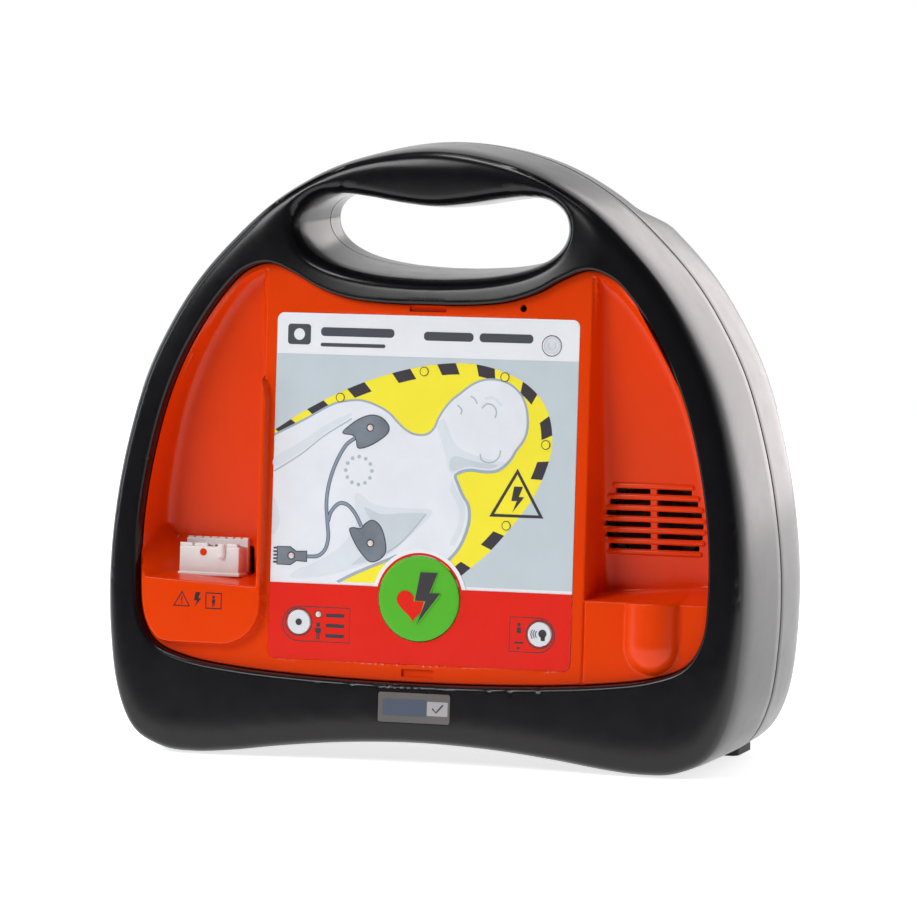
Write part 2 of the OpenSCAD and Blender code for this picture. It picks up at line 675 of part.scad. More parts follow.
module transformer_winding() color(copper) translate(transformer_at) difference() {
    cube([25.6, 38, 21.4], center = true);
    cube([10.4, 60, 60], center = true);
    for (s = [-1, 1]) translate([0, s * 30, 0]) cube([60, 30.4, 60], center = true);
}

module discharge_relay() color([0.85, 0.84, 0.78]) translate(relay_at) {
    cube([26, 24, 30], center = true);
    for (x = [-8, 0, 8]) translate([x, 0, 14]) cylinder(r = 0.9, h = 5);
}

module power_heatsink() color([0.70, 0.71, 0.73]) translate(heatsink_at) {
    translate([0, -10.5, 0]) cube([34, 3, 26], center = true);
    for (i = [-3 : 3]) translate([i * 5, 0, 0]) cube([1.4, 18.2, 26], center = true);
}

module high_voltage_leads() color([0.80, 0.10, 0.08]) {
    lead_end = capacitor_at[0] + capacitor_len / 2 + 4;
    translate([lead_end, capacitor_at[1], capacitor_at[2]]) rotate([0, 90, 0]) cylinder(r = 1.4, h = 19);
    translate([-capacitor_len / 2 - 4 + capacitor_at[0] - 10, capacitor_at[1], capacitor_at[2]])
        rotate([0, 90, 0]) cylinder(r = 1.4, h = 10);
    translate([-capacitor_len / 2 - 14 + capacitor_at[0], capacitor_at[1], 133]) cylinder(r = 1.4, h = 16.4);
}

// ---- Battery ----

module battery_case() color([0.17, 0.17, 0.19]) difference() {
    box([-battery_w / 2, back_y - battery_d, battery_low], [battery_w / 2, back_y, battery_low + battery_h]);
    box([-battery_w / 2 + 2, back_y - battery_d + 2, battery_low + 2],
        [battery_w / 2 - 2, back_y - 2, battery_low + battery_h - 2]);
    // Finger grooves in the two ends of the pack.
    for (s = [-1, 1]) box([s * (battery_w / 2 - 4) - 2.5, back_y - 1.2, battery_low + 18],
                          [s * (battery_w / 2 - 4) + 2.5, back_y + 1, battery_low + battery_h - 18]);
    // Windows for the terminals.
    for (s = [-1, 1]) box([s * 30 - 3.6, back_y - battery_d - 1, 80.4],
                          [s * 30 + 3.6, back_y - battery_d + 3, 85.6]);
}

module battery_cells() color([0.75, 0.78, 0.30]) for (row = [0, 1], i = [0 : 2])
    translate([-39 + i * 39, back_y - battery_d / 2, battery_low + 19 + row * 32]) rotate([0, 90, 0])
        cylinder(r = 14.5, h = 36, center = true);

module battery_terminals() color([0.85, 0.7, 0.35]) for (s = [-1, 1])
    box([s * 30 - 3.55, back_y - battery_d + 0.2, 80.45], [s * 30 + 3.55, back_y - battery_d + 1.8, 85.55]);

module bay_contacts() color([0.85, 0.7, 0.35]) for (s = [-1, 1]) {
    y = back_y - battery_d - battery_gap - bay_wall;
    box([s * 30 - 3.95, y - 1, 80.05], [s * 30 + 3.95, y + bay_wall, 85.95]);
    box([s * 30 - 3.2, y, 81], [s * 30 + 3.2, y + bay_wall + battery_gap + 0.15, 85]);
}

front_shell();
rear_shell();
case_seal();
control_panel();
label_foil();
shock_button();
child_button();
info_button();
power_key();
shock_spring();
small_springs();
keypad_board();
key_switches();
status_lenses();
marker_lenses();
status_leds();
microphone();
lid_keepers();
socket_block();
socket_contacts();
socket_key_dot();
socket_leads();
lcd_window();
lcd_module();
display_ribbon();
speaker_basket();
speaker_cone();
speaker_magnet();
speaker_gasket();
chassis();
main_board();
board_parts();
board_screws();
storage_capacitor();
capacitor_strap();
charge_transformer();
transformer_winding();
discharge_relay();
power_heatsink();
high_voltage_leads();
battery_case();
battery_cells();
battery_terminals();
bay_contacts();
front_feet();
rear_feet();
shell_screws();
panel_screws();
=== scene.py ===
"""The looks of a ring-handled automated external defibrillator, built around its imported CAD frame.

Lengths are millimetres until a mesh is made; the studio at the end is in metres. "Face" coordinates are
(across, depth behind the panel face, up the face); the face leans back a little, as the buttons' joint
axes say.
"""

import json
import math

import bmesh
import bpy
import numpy as np
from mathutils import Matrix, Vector
from mathutils.geometry import delaunay_2d_cdt
from mathutils.kdtree import KDTree


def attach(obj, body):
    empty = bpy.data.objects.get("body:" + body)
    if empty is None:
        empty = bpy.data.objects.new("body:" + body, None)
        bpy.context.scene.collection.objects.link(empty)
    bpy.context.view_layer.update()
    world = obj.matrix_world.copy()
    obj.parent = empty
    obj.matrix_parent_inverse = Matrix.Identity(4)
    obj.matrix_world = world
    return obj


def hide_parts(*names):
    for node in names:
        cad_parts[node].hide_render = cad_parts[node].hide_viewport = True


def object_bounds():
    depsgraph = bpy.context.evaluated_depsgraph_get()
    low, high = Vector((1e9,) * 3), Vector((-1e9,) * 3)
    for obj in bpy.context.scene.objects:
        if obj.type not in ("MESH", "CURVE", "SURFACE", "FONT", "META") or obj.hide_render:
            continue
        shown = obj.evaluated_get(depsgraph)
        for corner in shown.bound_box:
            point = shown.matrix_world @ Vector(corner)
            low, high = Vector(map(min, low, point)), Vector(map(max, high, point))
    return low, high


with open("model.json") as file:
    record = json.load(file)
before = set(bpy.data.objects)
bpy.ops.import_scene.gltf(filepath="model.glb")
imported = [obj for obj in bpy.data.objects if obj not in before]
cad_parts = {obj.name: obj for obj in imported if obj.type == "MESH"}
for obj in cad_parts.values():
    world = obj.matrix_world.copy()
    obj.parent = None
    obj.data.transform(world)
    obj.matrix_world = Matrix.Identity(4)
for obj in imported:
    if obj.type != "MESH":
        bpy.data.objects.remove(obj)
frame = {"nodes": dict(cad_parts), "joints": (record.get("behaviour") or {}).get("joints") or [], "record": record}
cad_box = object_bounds()

# ---- Driving sizes: the CAD's, except for the two shoulders, which are shaped more finely ----

MM = 0.001
LEAN = math.asin(-frame["joints"][0]["axis"][2])
COS, SIN, TAN = math.cos(LEAN), math.sin(LEAN), math.tan(LEAN)
BACK_Y = cad_box[1].y / MM
CROWN = 4.8
FACE_Y = CROWN - 50.8
PARTING_Y = 8.0
WALL = 2.8
HANDLE_BACK_Y = BACK_Y - 24
CENTRE_HALF = 70.5
BAY_DEEP, BAY_SHALLOW, BAY_TOP = 22.0, 5.0, 200.0
SHELF_V = 70.2
PANEL_WALL = 2.2
LABEL_W, LABEL_LOW, LABEL_TOP = 130.6, 41.2, 183.2
BAND_TOP, FIELD_LOW, FIELD_TOP = 72.3, 73.6, 166.4
SHOCK_AT, SHOCK_R = (0.0, 68.0), 17.4
KEY_GAP = 0.35
CHILD_AT, INFO_AT, SMALL_R = (-52.1, 56.4), (52.1, 55.7), 5.0
POWER_AT, POWER_R = (53.6, 172.5), 4.0
MIC_AT = (41.0, 187.3)
STATUS_AT = [(-23.4, 137.0), (-21.9, 89.8), (-56.3, 83.4), (-43.7, 59.8)]
MARKER_AT = [(-36.9, 148.9), (-0.8, 160.6), (34.0, 159.3), (52.3, 132.4), (36.4, 99.1)]
LENS_R, MARKER_R = 1.65, 1.75
GRILLE_AT, GRILLE_PITCH = (93.5, 103.5), 4.5
LCD_AT, LCD_SIZE = (0.6, 23.6), (31.0, 12.2)
BAY_HALF, BAY_LOW, BAY_HIGH, BAY_FLOOR_Y = 62.4, 21.6, 92.4, 15.6
SHELL_SCREWS = [(80, 213), (112.3, 165), (129.3, 72), (70, 17)]

CASE_HALF = [(0, 251.6), (24, 249), (47, 242), (69, 229.5), (87, 213.7), (102.5, 196.5), (115, 177),
             (125, 155.5), (132.5, 129), (137.2, 103), (139.4, 76), (138.5, 49), (134.7, 25), (126.2, 8.8),
             (112, 1.6), (97, 0.3), (80, 1.5), (60, 4), (38, 6.2), (18, 7.4), (0, 7.8)]
OPENING_HALF = [(0, 188), (18, 188.2), (34, 189.8), (47, 193.8), (58, 199.6), (69, 203.4), (79.5, 200.2),
                (88, 192), (97, 179.5), (106, 163.3), (113.5, 144), (119.3, 120), (122.6, 97), (123.3, 75),
                (121.6, 57), (114.5, 45.5), (100, 39.8), (80, 36.8), (55, 34.9), (28, 33.9), (0, 33.6)]
HANDLE_HALF = [(0, 226.8), (14, 228), (28, 230.2), (40, 231.4), (49.5, 230), (56, 225.2), (58.2, 218.4),
               (56, 211.4), (49.6, 205.6), (39, 201.2), (24, 198.4), (8, 197.3), (0, 197.2)]
HANDLE_BACK_HALF = [(0, 290), (40, 290), (78, 275), (81, 252), (78, 238), (73.5, 227), (68.5, 216.5),
                    (62, 208), (53, 200.5), (42, 194.8), (28, 191.4), (14, 190.2), (0, 190)]
# Front shoulder: how far the skin is in from the outline, and its share of the way to the crown.
SHOULDER = [(0.0, 0.02), (0.45, 0.36), (1.1, 0.715), (2.1, 0.862), (2.9, 0.91), (4.6, 0.962), (7.2, 0.986),
            (11.0, 0.997), (16.0, 1.0)]
# Rear shoulder: the same, from the joint to the back face.
REAR_SHOULDER = [(0.0, 0.02), (0.9, 0.66), (2.6, 0.857), (5.6, 0.952), (11.0, 1.0)]
# Up to these insets the skin is made of rings; further in it is a sheet.
RIM_INSET, REAR_INSET = 2.9, 2.6


# ---- Outlines and distances ----

def mirrored(half):
    """A whole closed outline, clockwise, from its right half."""
    return half + [(-x, z) for x, z in half[-2:0:-1]]


def curve_points(a, b, c, d, t):
    """Points between b and c on the smooth curve through a, b, c and d."""
    t = t[:, None]
    square, cube = 2 * a - 5 * b + 4 * c - d, 3 * b - a - 3 * c + d
    return 0.5 * (2 * b + (c - a) * t + square * t**2 + cube * t**3)


def smooth(points, steps, closed=True):
    """A smooth curve through the points, with the given steps between neighbours."""
    p = np.array(points, float)
    n = len(p)
    t = np.arange(steps) / steps
    if closed:
        return np.vstack([curve_points(p[i - 1], p[i], p[(i + 1) % n], p[(i + 2) % n], t) for i in range(n)])
    p = np.vstack([2 * p[0] - p[1], p, 2 * p[-1] - p[-2]])
    runs = [curve_points(p[i - 1], p[i], p[i + 1], p[i + 2], t) for i in range(1, n)]
    return np.vstack(runs + [p[-2:-1]])


def inset(p, d):
    """The clockwise outline moved inwards by d, or outwards where d is negative."""
    run = np.roll(p, -1, 0) - np.roll(p, 1, 0)
    side = np.column_stack([run[:, 1], -run[:, 0]]) / np.linalg.norm(run, axis=1)[:, None]
    return p + d * side


def circle(at, r, steps=48):
    """A circle, clockwise."""
    a = -np.arange(steps) * 2 * math.pi / steps
    return np.column_stack([at[0] + r * np.cos(a), at[1] + r * np.sin(a)])


def arc(at, r, start, end, steps):
    """Points on a circle between two angles, clockwise from the top."""
    return [(at[0] + r * math.sin(a), at[1] + r * math.cos(a)) for a in np.linspace(start, end, steps)]


def round_rect(low, high, r, steps=8):
    """A rectangle with round corners, clockwise."""
    centres = [(high[0] - r, high[1] - r, 90), (high[0] - r, low[1] + r, 0),
               (low[0] + r, low[1] + r, -90), (low[0] + r, high[1] - r, 180)]
    points = []
    for x, y, start in centres:
        for k in range(steps + 1):
            a = math.radians(start - 90 * k / steps)
            points.append((x + r * math.cos(a), y + r * math.sin(a)))
    return np.array(points)


def subdivided(p, longest):
    """The closed outline with no edge longer than the given length."""
    points = []
    for a, b in zip(p, np.roll(p, -1, 0)):
        n = max(1, math.ceil(np.linalg.norm(b - a) / longest))
        points += [a + (b - a) * k / n for k in range(n)]
    return np.array(points)


def distance(p, loop):
    """Distance of each point from the closed line."""
    a, d = loop, np.roll(loop, -1, 0) - loop
    length2 = np.maximum((d * d).sum(1), 1e-12)
    result = np.empty(len(p))
    for s in range(0, len(p), 2000):
        gap = p[s:s + 2000, None] - a
        t = np.clip((gap * d).sum(2) / length2, 0, 1)
        result[s:s + 2000] = np.linalg.norm(gap - t[..., None] * d, axis=2).min(1)
    return result


def inside(p, loop):
    """Which of the points are inside the closed line."""
    x, y = p[:, 0][:, None], p[:, 1][:, None]
    b = np.roll(loop, -1, 0)
    crosses = (loop[:, 1] > y) != (b[:, 1] > y)
    rise = np.where(b[:, 1] == loop[:, 1], 1e-12, b[:, 1] - loop[:, 1])
    at = (b[:, 0] - loop[:, 0]) * (y - loop[:, 1]) / rise + loop[:, 0]
    return ((x < at) & crosses).sum(1) % 2 == 1


CASE = smooth(mirrored(CASE_HALF), 9)
OPENING = smooth(mirrored(OPENING_HALF), 9)
HANDLE = smooth(mirrored(HANDLE_HALF), 9)
HANDLE_BACK = smooth(mirrored(HANDLE_BACK_HALF), 6)


def on_face(across, depth, up):
    """Face coordinates to the frame's, still in millimetres."""
    depth, up = np.asarray(depth, float), np.asarray(up, float)
    y, z = FACE_Y + depth * COS + up * SIN, up * COS - depth * SIN
    return np.column_stack(np.broadcast_arrays(across, y, z))


def at_depth(p, depth):
    """A flat outline on the face, at that depth behind it."""
    return on_face(p[:, 0], depth, p[:, 1])


def at_y(p, y):
    """A flat outline seen from the front, at that Y of the frame."""
    return np.column_stack(np.broadcast_arrays(p[:, 0], y, p[:, 1]))


# ---- Meshes ----

def triangulate(loops, features=(), spacing=None):
    """Triangles of the area inside loops[0] and outside the others, with the feature points in it.

    The loops' own points come first, in order."""
    edge_points = np.vstack(loops)
    edges, start = [], 0
    for loop in loops:
        n = len(loop)
        edges += [(start + i, start + (i + 1) % n) for i in range(n)]
        start += n

    def in_area(p):
        keep = inside(p, loops[0])
        for hole in loops[1:]:
            keep &= ~inside(p, hole)
        return keep

    def allowed(p, gap):
        p = p[in_area(p)]
        for loop in loops:
            p = p[distance(p, loop) > gap]
        return p

    added = [edge_points]
    if len(features):
        detail = allowed(np.vstack(features), 0.12)
        detail = detail[np.unique(np.round(detail / 0.13), axis=0, return_index=True)[1]]
        added.append(detail)
    if spacing:
        low, high = loops[0].min(0), loops[0].max(0)
        xs = np.arange(low[0], high[0], spacing)
        rows = [np.column_stack([xs + (k % 2) * spacing / 2, np.full(len(xs), z)])
                for k, z in enumerate(np.arange(low[1], high[1], spacing * 0.866))]
        grid = allowed(np.vstack(rows), spacing * 0.45)
        near = np.vstack(added)
        tree = KDTree(len(near))
        for i, p in enumerate(near):
            tree.insert((p[0], p[1], 0), i)
        tree.balance()
        apart = [p for p in grid if tree.find((p[0], p[1], 0))[2] > 0.6 * spacing]
        added.append(np.array(apart).reshape(-1, 2))
    points = np.vstack(added)
    out = delaunay_2d_cdt([Vector(p) for p in points], edges, [], 0, 1e-6, True)
    place, extra = [], []
    for vert, origin in zip(out[0], out[3]):
        if origin:
            place.append(min(origin))
        else:
            place.append(len(points) + len(extra))
            extra.append(vert)
    if extra:
        points = np.vstack([points, np.array(extra)])
    faces = np.array([[place[i] for i in f] for f in out[2]])
    return points, faces[in_area(points[faces].mean(1))]


class Skin:
    """A closed mesh put together from loops, the walls between them, and sheets that fill them."""

    def __init__(self):
        self.points = []
        self.faces = []

    def loop(self, points):
        start = len(self.points)
        self.points += [tuple(p) for p in points]
        return list(range(start, len(self.points)))

    def bridge(self, a, b):
        n = len(a)
        self.faces += [(a[i], a[(i + 1) % n], b[(i + 1) % n], b[i]) for i in range(n)]

    def walls(self, start, rings):
        """Walls from the loop start through each ring of points; returns the last loop."""
        for ring in rings:
            following = self.loop(ring)
            self.bridge(start, following)
            start = following
        return start

    def capped(self, rings):
        """A closed bar through the rings, with flat ends."""
        first = self.loop(rings[0])
        last = self.walls(first, rings[1:])
        self.faces += [tuple(first), tuple(reversed(last))]

    def sheet(self, outlines, ids, lift, features=(), spacing=None):
        """Fills the outlines, given flat and as loops of this skin, with a surface lifted from the flat."""
        points, faces = triangulate(outlines, features, spacing)
        known = [i for loop in ids for i in loop]
        new = points[len(known):]
        known += self.loop(lift(new)) if len(new) else []
        self.faces += [tuple(known[i] for i in f) for f in faces]

    def make(self, name, material, body="case", sharp=40, replaces=()):
        """The piece, in metres, riding on its body."""
        mesh = bpy.data.meshes.new(name)
        mesh.from_pydata([(x * MM, y * MM, z * MM) for x, y, z in self.points], [], self.faces)
        bm = bmesh.new()
        bm.from_mesh(mesh)
        bmesh.ops.remove_doubles(bm, verts=bm.verts, dist=1e-7)
        bmesh.ops.recalc_face_normals(bm, faces=bm.faces)
        bm.to_mesh(mesh)
        bm.free()
        mesh.shade_smooth()
        mesh.set_sharp_from_angle(angle=math.radians(sharp))
        piece = bpy.data.objects.new(name, mesh)
        bpy.context.scene.collection.objects.link(piece)
        mesh.materials.append(material)
        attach(piece, body)
        if replaces:
            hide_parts(*replaces)
        return piece


def plate(name, outlines, material, front, back=0.06, body="case", sharp=40, replaces=()):
    """A thin closed plate on the face. Each outline is a list of loops: an edge and its holes."""
    skin = Skin()
    for loops in outlines:
        faces = [[skin.loop(at_depth(p, d)) for p in loops] for d in (front, back)]
        for near, far in zip(*faces):
            skin.bridge(near, far)
        for ids in faces:
            skin.sheet(loops, ids, None)
    return skin.make(name, material, body, sharp, replaces)


def stroke(points, width, steps=6):
    """The outline of a line of that width through the points."""
    line = smooth(points, steps, closed=False) if steps else np.array(points, float)
    run = np.gradient(line, axis=0)
    side = np.column_stack([run[:, 1], -run[:, 0]]) / np.linalg.norm(run, axis=1)[:, None]
    return np.vstack([line - side * width / 2, (line + side * width / 2)[::-1]])


def frame_line(outline, width):
    """A closed line as an edge and its hole."""
    return [inset(outline, -width / 2), inset(outline, width / 2)]


# ---- Materials ----

def new_material(name):
    material = bpy.data.materials.new(name)
    material.use_nodes = True
    tree = material.node_tree
    shader = tree.nodes["Principled BSDF"]
    place = tree.nodes.new("ShaderNodeTexCoord")
    return material, tree, shader, place.outputs["Object"]


def noise(tree, place, size, detail=3.0, roughness=0.55):
    """A noise texture whose grain is about size millimetres."""
    node = tree.nodes.new("ShaderNodeTexNoise")
    node.inputs["Scale"].default_value = 1 / (size * MM)
    node.inputs["Detail"].default_value = detail
    node.inputs["Roughness"].default_value = roughness
    tree.links.new(place, node.inputs["Vector"])
    return node.outputs["Fac"]


def mapped(tree, value, low, high, start=0.3, end=0.7):
    node = tree.nodes.new("ShaderNodeMapRange")
    node.inputs["From Min"].default_value = start
    node.inputs["From Max"].default_value = end
    node.inputs["To Min"].default_value = low
    node.inputs["To Max"].default_value = high
    tree.links.new(value, node.inputs["Value"])
    return node.outputs["Result"]


def mottled(tree, value, colour, spread):
    """The colour, a little darker and lighter along the value."""
    node = tree.nodes.new("ShaderNodeMix")
    node.data_type = "RGBA"
    node.inputs["A"].default_value = [c * (1 - spread) for c in colour] + [1]
    node.inputs["B"].default_value = [min(1, c * (1 + spread)) for c in colour] + [1]
    tree.links.new(mapped(tree, value, 0, 1), node.inputs["Factor"])
    return node.outputs["Result"]


def bump(tree, heights, shader):
    """Chains (height, strength, distance in millimetres) into the shader's normal."""
    normal = None
    for height, strength, depth in heights:
        node = tree.nodes.new("ShaderNodeBump")
        node.inputs["Strength"].default_value = strength
        node.inputs["Distance"].default_value = depth * MM
        tree.links.new(height, node.inputs["Height"])
        if normal:
            tree.links.new(normal, node.inputs["Normal"])
        normal = node.outputs["Normal"]
    tree.links.new(normal, shader.inputs["Normal"])


def moulded(name, colour, roughness, grain=0.45, depth=0.05, spread=0.05, coat=0.0, specular=0.5):
    """Moulded plastic: spark-eroded grain and a cloudy gloss."""
    material, tree, shader, place = new_material(name)
    cloud = noise(tree, place, 38, 4)
    fine = noise(tree, place, grain, 2, 0.6)
    tree.links.new(mottled(tree, cloud, colour, spread), shader.inputs["Base Color"])
    gloss = noise(tree, place, 9, 5, 0.7)
    tree.links.new(mapped(tree, gloss, roughness * 0.88, roughness * 1.14), shader.inputs["Roughness"])
    shader.inputs["Coat Weight"].default_value = coat
    shader.inputs["Coat Roughness"].default_value = 0.18
    shader.inputs["Specular IOR Level"].default_value = specular
    bump(tree, [(fine, 0.35, depth)], shader)
    return material


def printed(name, colour, roughness=0.42, spread=0.02):
    """Screen-printed ink under a satin film, with a faint film grain."""
    material, tree, shader, place = new_material(name)
    tree.links.new(mottled(tree, noise(tree, place, 14, 4), colour, spread), shader.inputs["Base Color"])
    tree.links.new(mapped(tree, noise(tree, place, 4, 4), roughness * 0.9, roughness * 1.12),
                   shader.inputs["Roughness"])
    shader.inputs["Specular IOR Level"].default_value = 0.25
    bump(tree, [(noise(tree, place, 0.3, 2), 0.2, 0.02)], shader)
    return material


def metal(name, colour, roughness, stretch=(1, 1, 1), grain=0.3):
    """Metal with a fine directional finish."""
    material, tree, shader, place = new_material(name)
    scaled = tree.nodes.new("ShaderNodeMapping")
    scaled.inputs["Scale"].default_value = stretch
    tree.links.new(place, scaled.inputs["Vector"])
    lines = noise(tree, scaled.outputs["Vector"], grain, 4, 0.7)
    tree.links.new(mottled(tree, noise(tree, place, 6, 4), colour, 0.08), shader.inputs["Base Color"])
    tree.links.new(mapped(tree, lines, roughness * 0.75, roughness * 1.3), shader.inputs["Roughness"])
    shader.inputs["Metallic"].default_value = 1.0
    bump(tree, [(lines, 0.3, 0.03)], shader)
    return material


def board_finish(name):
    """Solder mask with faint tracks below it and the weave of the laminate."""
    material, tree, shader, place = new_material(name)
    tracks = tree.nodes.new("ShaderNodeTexVoronoi")
    tracks.distance = "CHEBYCHEV"
    tracks.feature = "DISTANCE_TO_EDGE"
    tracks.inputs["Scale"].default_value = 260
    tree.links.new(place, tracks.inputs["Vector"])
    mix = tree.nodes.new("ShaderNodeMix")
    mix.data_type = "RGBA"
    mix.inputs["A"].default_value = (0.03, 0.24, 0.07, 1)
    mix.inputs["B"].default_value = (0.008, 0.10, 0.03, 1)
    tree.links.new(mapped(tree, tracks.outputs["Distance"], 0, 1, 0.02, 0.12), mix.inputs["Factor"])
    tree.links.new(mix.outputs["Result"], shader.inputs["Base Color"])
    tree.links.new(mapped(tree, noise(tree, place, 3, 3), 0.3, 0.42), shader.inputs["Roughness"])
    bump(tree, [(noise(tree, place, 0.5, 2), 0.25, 0.03)], shader)
    return material


FINISH = {
    "shell_black": moulded("shell_black", (0.0042, 0.0037, 0.0048), 0.24, depth=0.009, spread=0.10,
                           specular=0.38),
    "panel_orange": moulded("panel_orange", (0.78, 0.049, 0.0006), 0.24, depth=0.007, spread=0.025,
                            specular=0.25),
    "label_print": printed("label_white", (0.84, 0.86, 0.90)),
    "button_green": printed("shock_green", (0.095, 0.47, 0.028), 0.38),
    "button_grey": printed("key_grey", (0.72, 0.75, 0.79), 0.38),
    "black_plastic": moulded("black_plastic", (0.016, 0.016, 0.018), 0.42, grain=0.6, depth=0.07),
    "black_rubber": moulded("black_rubber", (0.013, 0.013, 0.013), 0.72, grain=0.9, depth=0.12),
    "socket_white": moulded("socket_white", (0.86, 0.86, 0.85), 0.30, grain=1.2, depth=0.02, spread=0.015),
    "contact_gold": metal("contact_gold", (0.86, 0.62, 0.25), 0.24),
    "spring_steel": metal("spring_steel", (0.62, 0.62, 0.64), 0.26),
    "steel": metal("zinc_steel", (0.60, 0.60, 0.62), 0.32),
    "magnet_steel": metal("dark_ferrite", (0.06, 0.06, 0.065), 0.5),
    "chassis_alloy": metal("rolled_aluminium", (0.58, 0.59, 0.61), 0.36, (1, 14, 14)),
    "board": board_finish("solder_mask"),
    "led_body": moulded("led_body", (0.80, 0.79, 0.72), 0.35, grain=0.8, depth=0.02),
    "lens_clear": moulded("lens_pale", (0.80, 0.66, 0.60), 0.12, grain=1.0, depth=0.01, coat=1.0),
    "lcd_frame": moulded("lcd_frame", (0.135, 0.125, 0.12), 0.22, grain=1.5, depth=0.01, coat=0.5),
    "lcd_glass": moulded("lcd_glass", (0.045, 0.055, 0.068), 0.12, grain=2.0, depth=0.005, coat=1.0),
    "ribbon": moulded("polyimide", (0.70, 0.38, 0.10), 0.3, grain=0.8, depth=0.03),
    "capacitor_sleeve": moulded("capacitor_sleeve", (0.03, 0.08, 0.30), 0.28, grain=4, depth=0.05),
    "cell_sleeve": moulded("cell_sleeve", (0.45, 0.50, 0.08), 0.28, grain=4, depth=0.05),
    "nylon": moulded("nylon", (0.72, 0.71, 0.66), 0.45, grain=0.7, depth=0.04),
    "copper_wire": metal("copper_wire", (0.78, 0.33, 0.16), 0.3, (1, 1, 16)),
    "lead_red": moulded("silicone_red", (0.55, 0.02, 0.01), 0.42, grain=1.5, depth=0.03),
}
INK = {
    "field": printed("ink_field", (0.56, 0.63, 0.68)),
    "yellow": printed("ink_yellow", (0.95, 0.83, 0.045)),
    "dark": printed("ink_dark", (0.052, 0.046, 0.055)),
    "outline": printed("ink_outline", (0.26, 0.32, 0.42)),
    "rim": printed("ink_rim", (0.36, 0.43, 0.52)),
    "body": printed("ink_body", (0.80, 0.83, 0.88), spread=0.035),
    "white": printed("ink_white", (0.86, 0.88, 0.92)),
    "soft": printed("ink_soft", (0.72, 0.765, 0.82), spread=0.03),
    "shade": printed("ink_shade", (0.60, 0.66, 0.71), spread=0.04),
    "line": printed("ink_line", (0.44, 0.52, 0.57)),
    "pad": printed("ink_pad", (0.19, 0.22, 0.26), spread=0.22),
    "red": printed("ink_red", (0.76, 0.018, 0.008), 0.36),
    "grey": printed("ink_grey", (0.075, 0.08, 0.095)),
    "slate": printed("ink_slate", (0.09, 0.11, 0.15), 0.2),
    "pale": printed("ink_pale", (0.40, 0.40, 0.41), 0.2),
    "sign": printed("ink_sign", (0.03, 0.02, 0.03)),
    "mark": printed("ink_mark", (0.62, 0.68, 0.72)),
}


# ---- Case ----

def crown_y(z):
    """The crown of the rim at that height."""
    return FACE_Y - CROWN + TAN * z


def profile(points, d):
    """The share of the way forward or back at the distance d in from the outline, on a smooth curve."""
    curve = smooth(points, 12, closed=False)
    return np.interp(d, np.maximum.accumulate(curve[:, 0]), curve[:, 1])


def profile_rows(points, until, count):
    """Steps along the profile's curve up to the given inset, as (inset, share)."""
    curve = smooth(points, 12, closed=False)
    curve = curve[curve[:, 0] <= until + 1e-6]
    length = np.concatenate([[0], np.cumsum(np.hypot(np.diff(curve[:, 0]) * 12, np.diff(curve[:, 1]) * 40))])
    at = np.linspace(0, length[-1], count)
    return np.column_stack([np.interp(at, length, curve[:, 0]), np.interp(at, length, curve[:, 1])])


def ease(d, reach, power):
    """From 1 at the distance 0 to 0 at the reach."""
    return np.clip(1 - d / reach, 0, 1) ** power


OPENING_FRONT = on_face(OPENING[:, 0], 0.2, OPENING[:, 1])
OPENING_FLAT = OPENING_FRONT[:, [0, 2]]


def front_ring(move, share, thickness=0.0):
    """A ring of the front shell. The underside stays low almost to the front."""
    p = inset(CASE, move + thickness)
    y = PARTING_Y + share * (crown_y(p[:, 1]) + thickness - PARTING_Y)
    z = p[:, 1] - 0.85 * min(move, 3) * np.clip(1 - p[:, 1] / 30, 0, 1)
    return np.column_stack([p[:, 0], y, z])


RIM_EDGE = front_ring(RIM_INSET, 1.0)[:, [0, 2]]


def rim_y(p):
    """Front skin of the rim: crowned, with a round shoulder, a crisp lip and a rounded handle opening."""
    total = PARTING_Y - crown_y(p[:, 1])
    back = (1 - profile(SHOULDER, RIM_INSET + distance(p, RIM_EDGE))) * total
    lip = distance(p, OPENING_FLAT)
    back = back + np.where(lip < 0.35, 5.0 - 4.1 * lip / 0.35, 0.9 * ease(lip - 0.35, 1.3, 2))
    return crown_y(p[:, 1]) + back + dish(p) + 6.2 * ease(distance(p, HANDLE), 4.6, 2.2)


def dish(p):
    """The rim falls back gently towards the handle opening."""
    return 2.6 * ease(distance(p, HANDLE), 16, 1.5)


def lifted(y_of):
    """A function that puts flat points on the surface."""
    return lambda p: at_y(p, y_of(p))


def level(y):
    return lifted(lambda p: np.full(len(p), y))


def side_ring(move, share, end_y):
    """A ring of the rear shell, at a share of the way from the joint to its end surface."""
    p = inset(CASE, move)
    return at_y(p, PARTING_Y + share * (end_y(p) - PARTING_Y))


def rings_around(outline, offsets):
    return [inset(outline, d) for d in offsets]


def lcd_window_loop(grow):
    half_w, half_h = LCD_SIZE[0] / 2 + grow, LCD_SIZE[1] / 2 + grow
    return subdivided(round_rect((LCD_AT[0] - half_w, LCD_AT[1] - half_h),
                                 (LCD_AT[0] + half_w, LCD_AT[1] + half_h), 1.2 + grow, 5), 3)


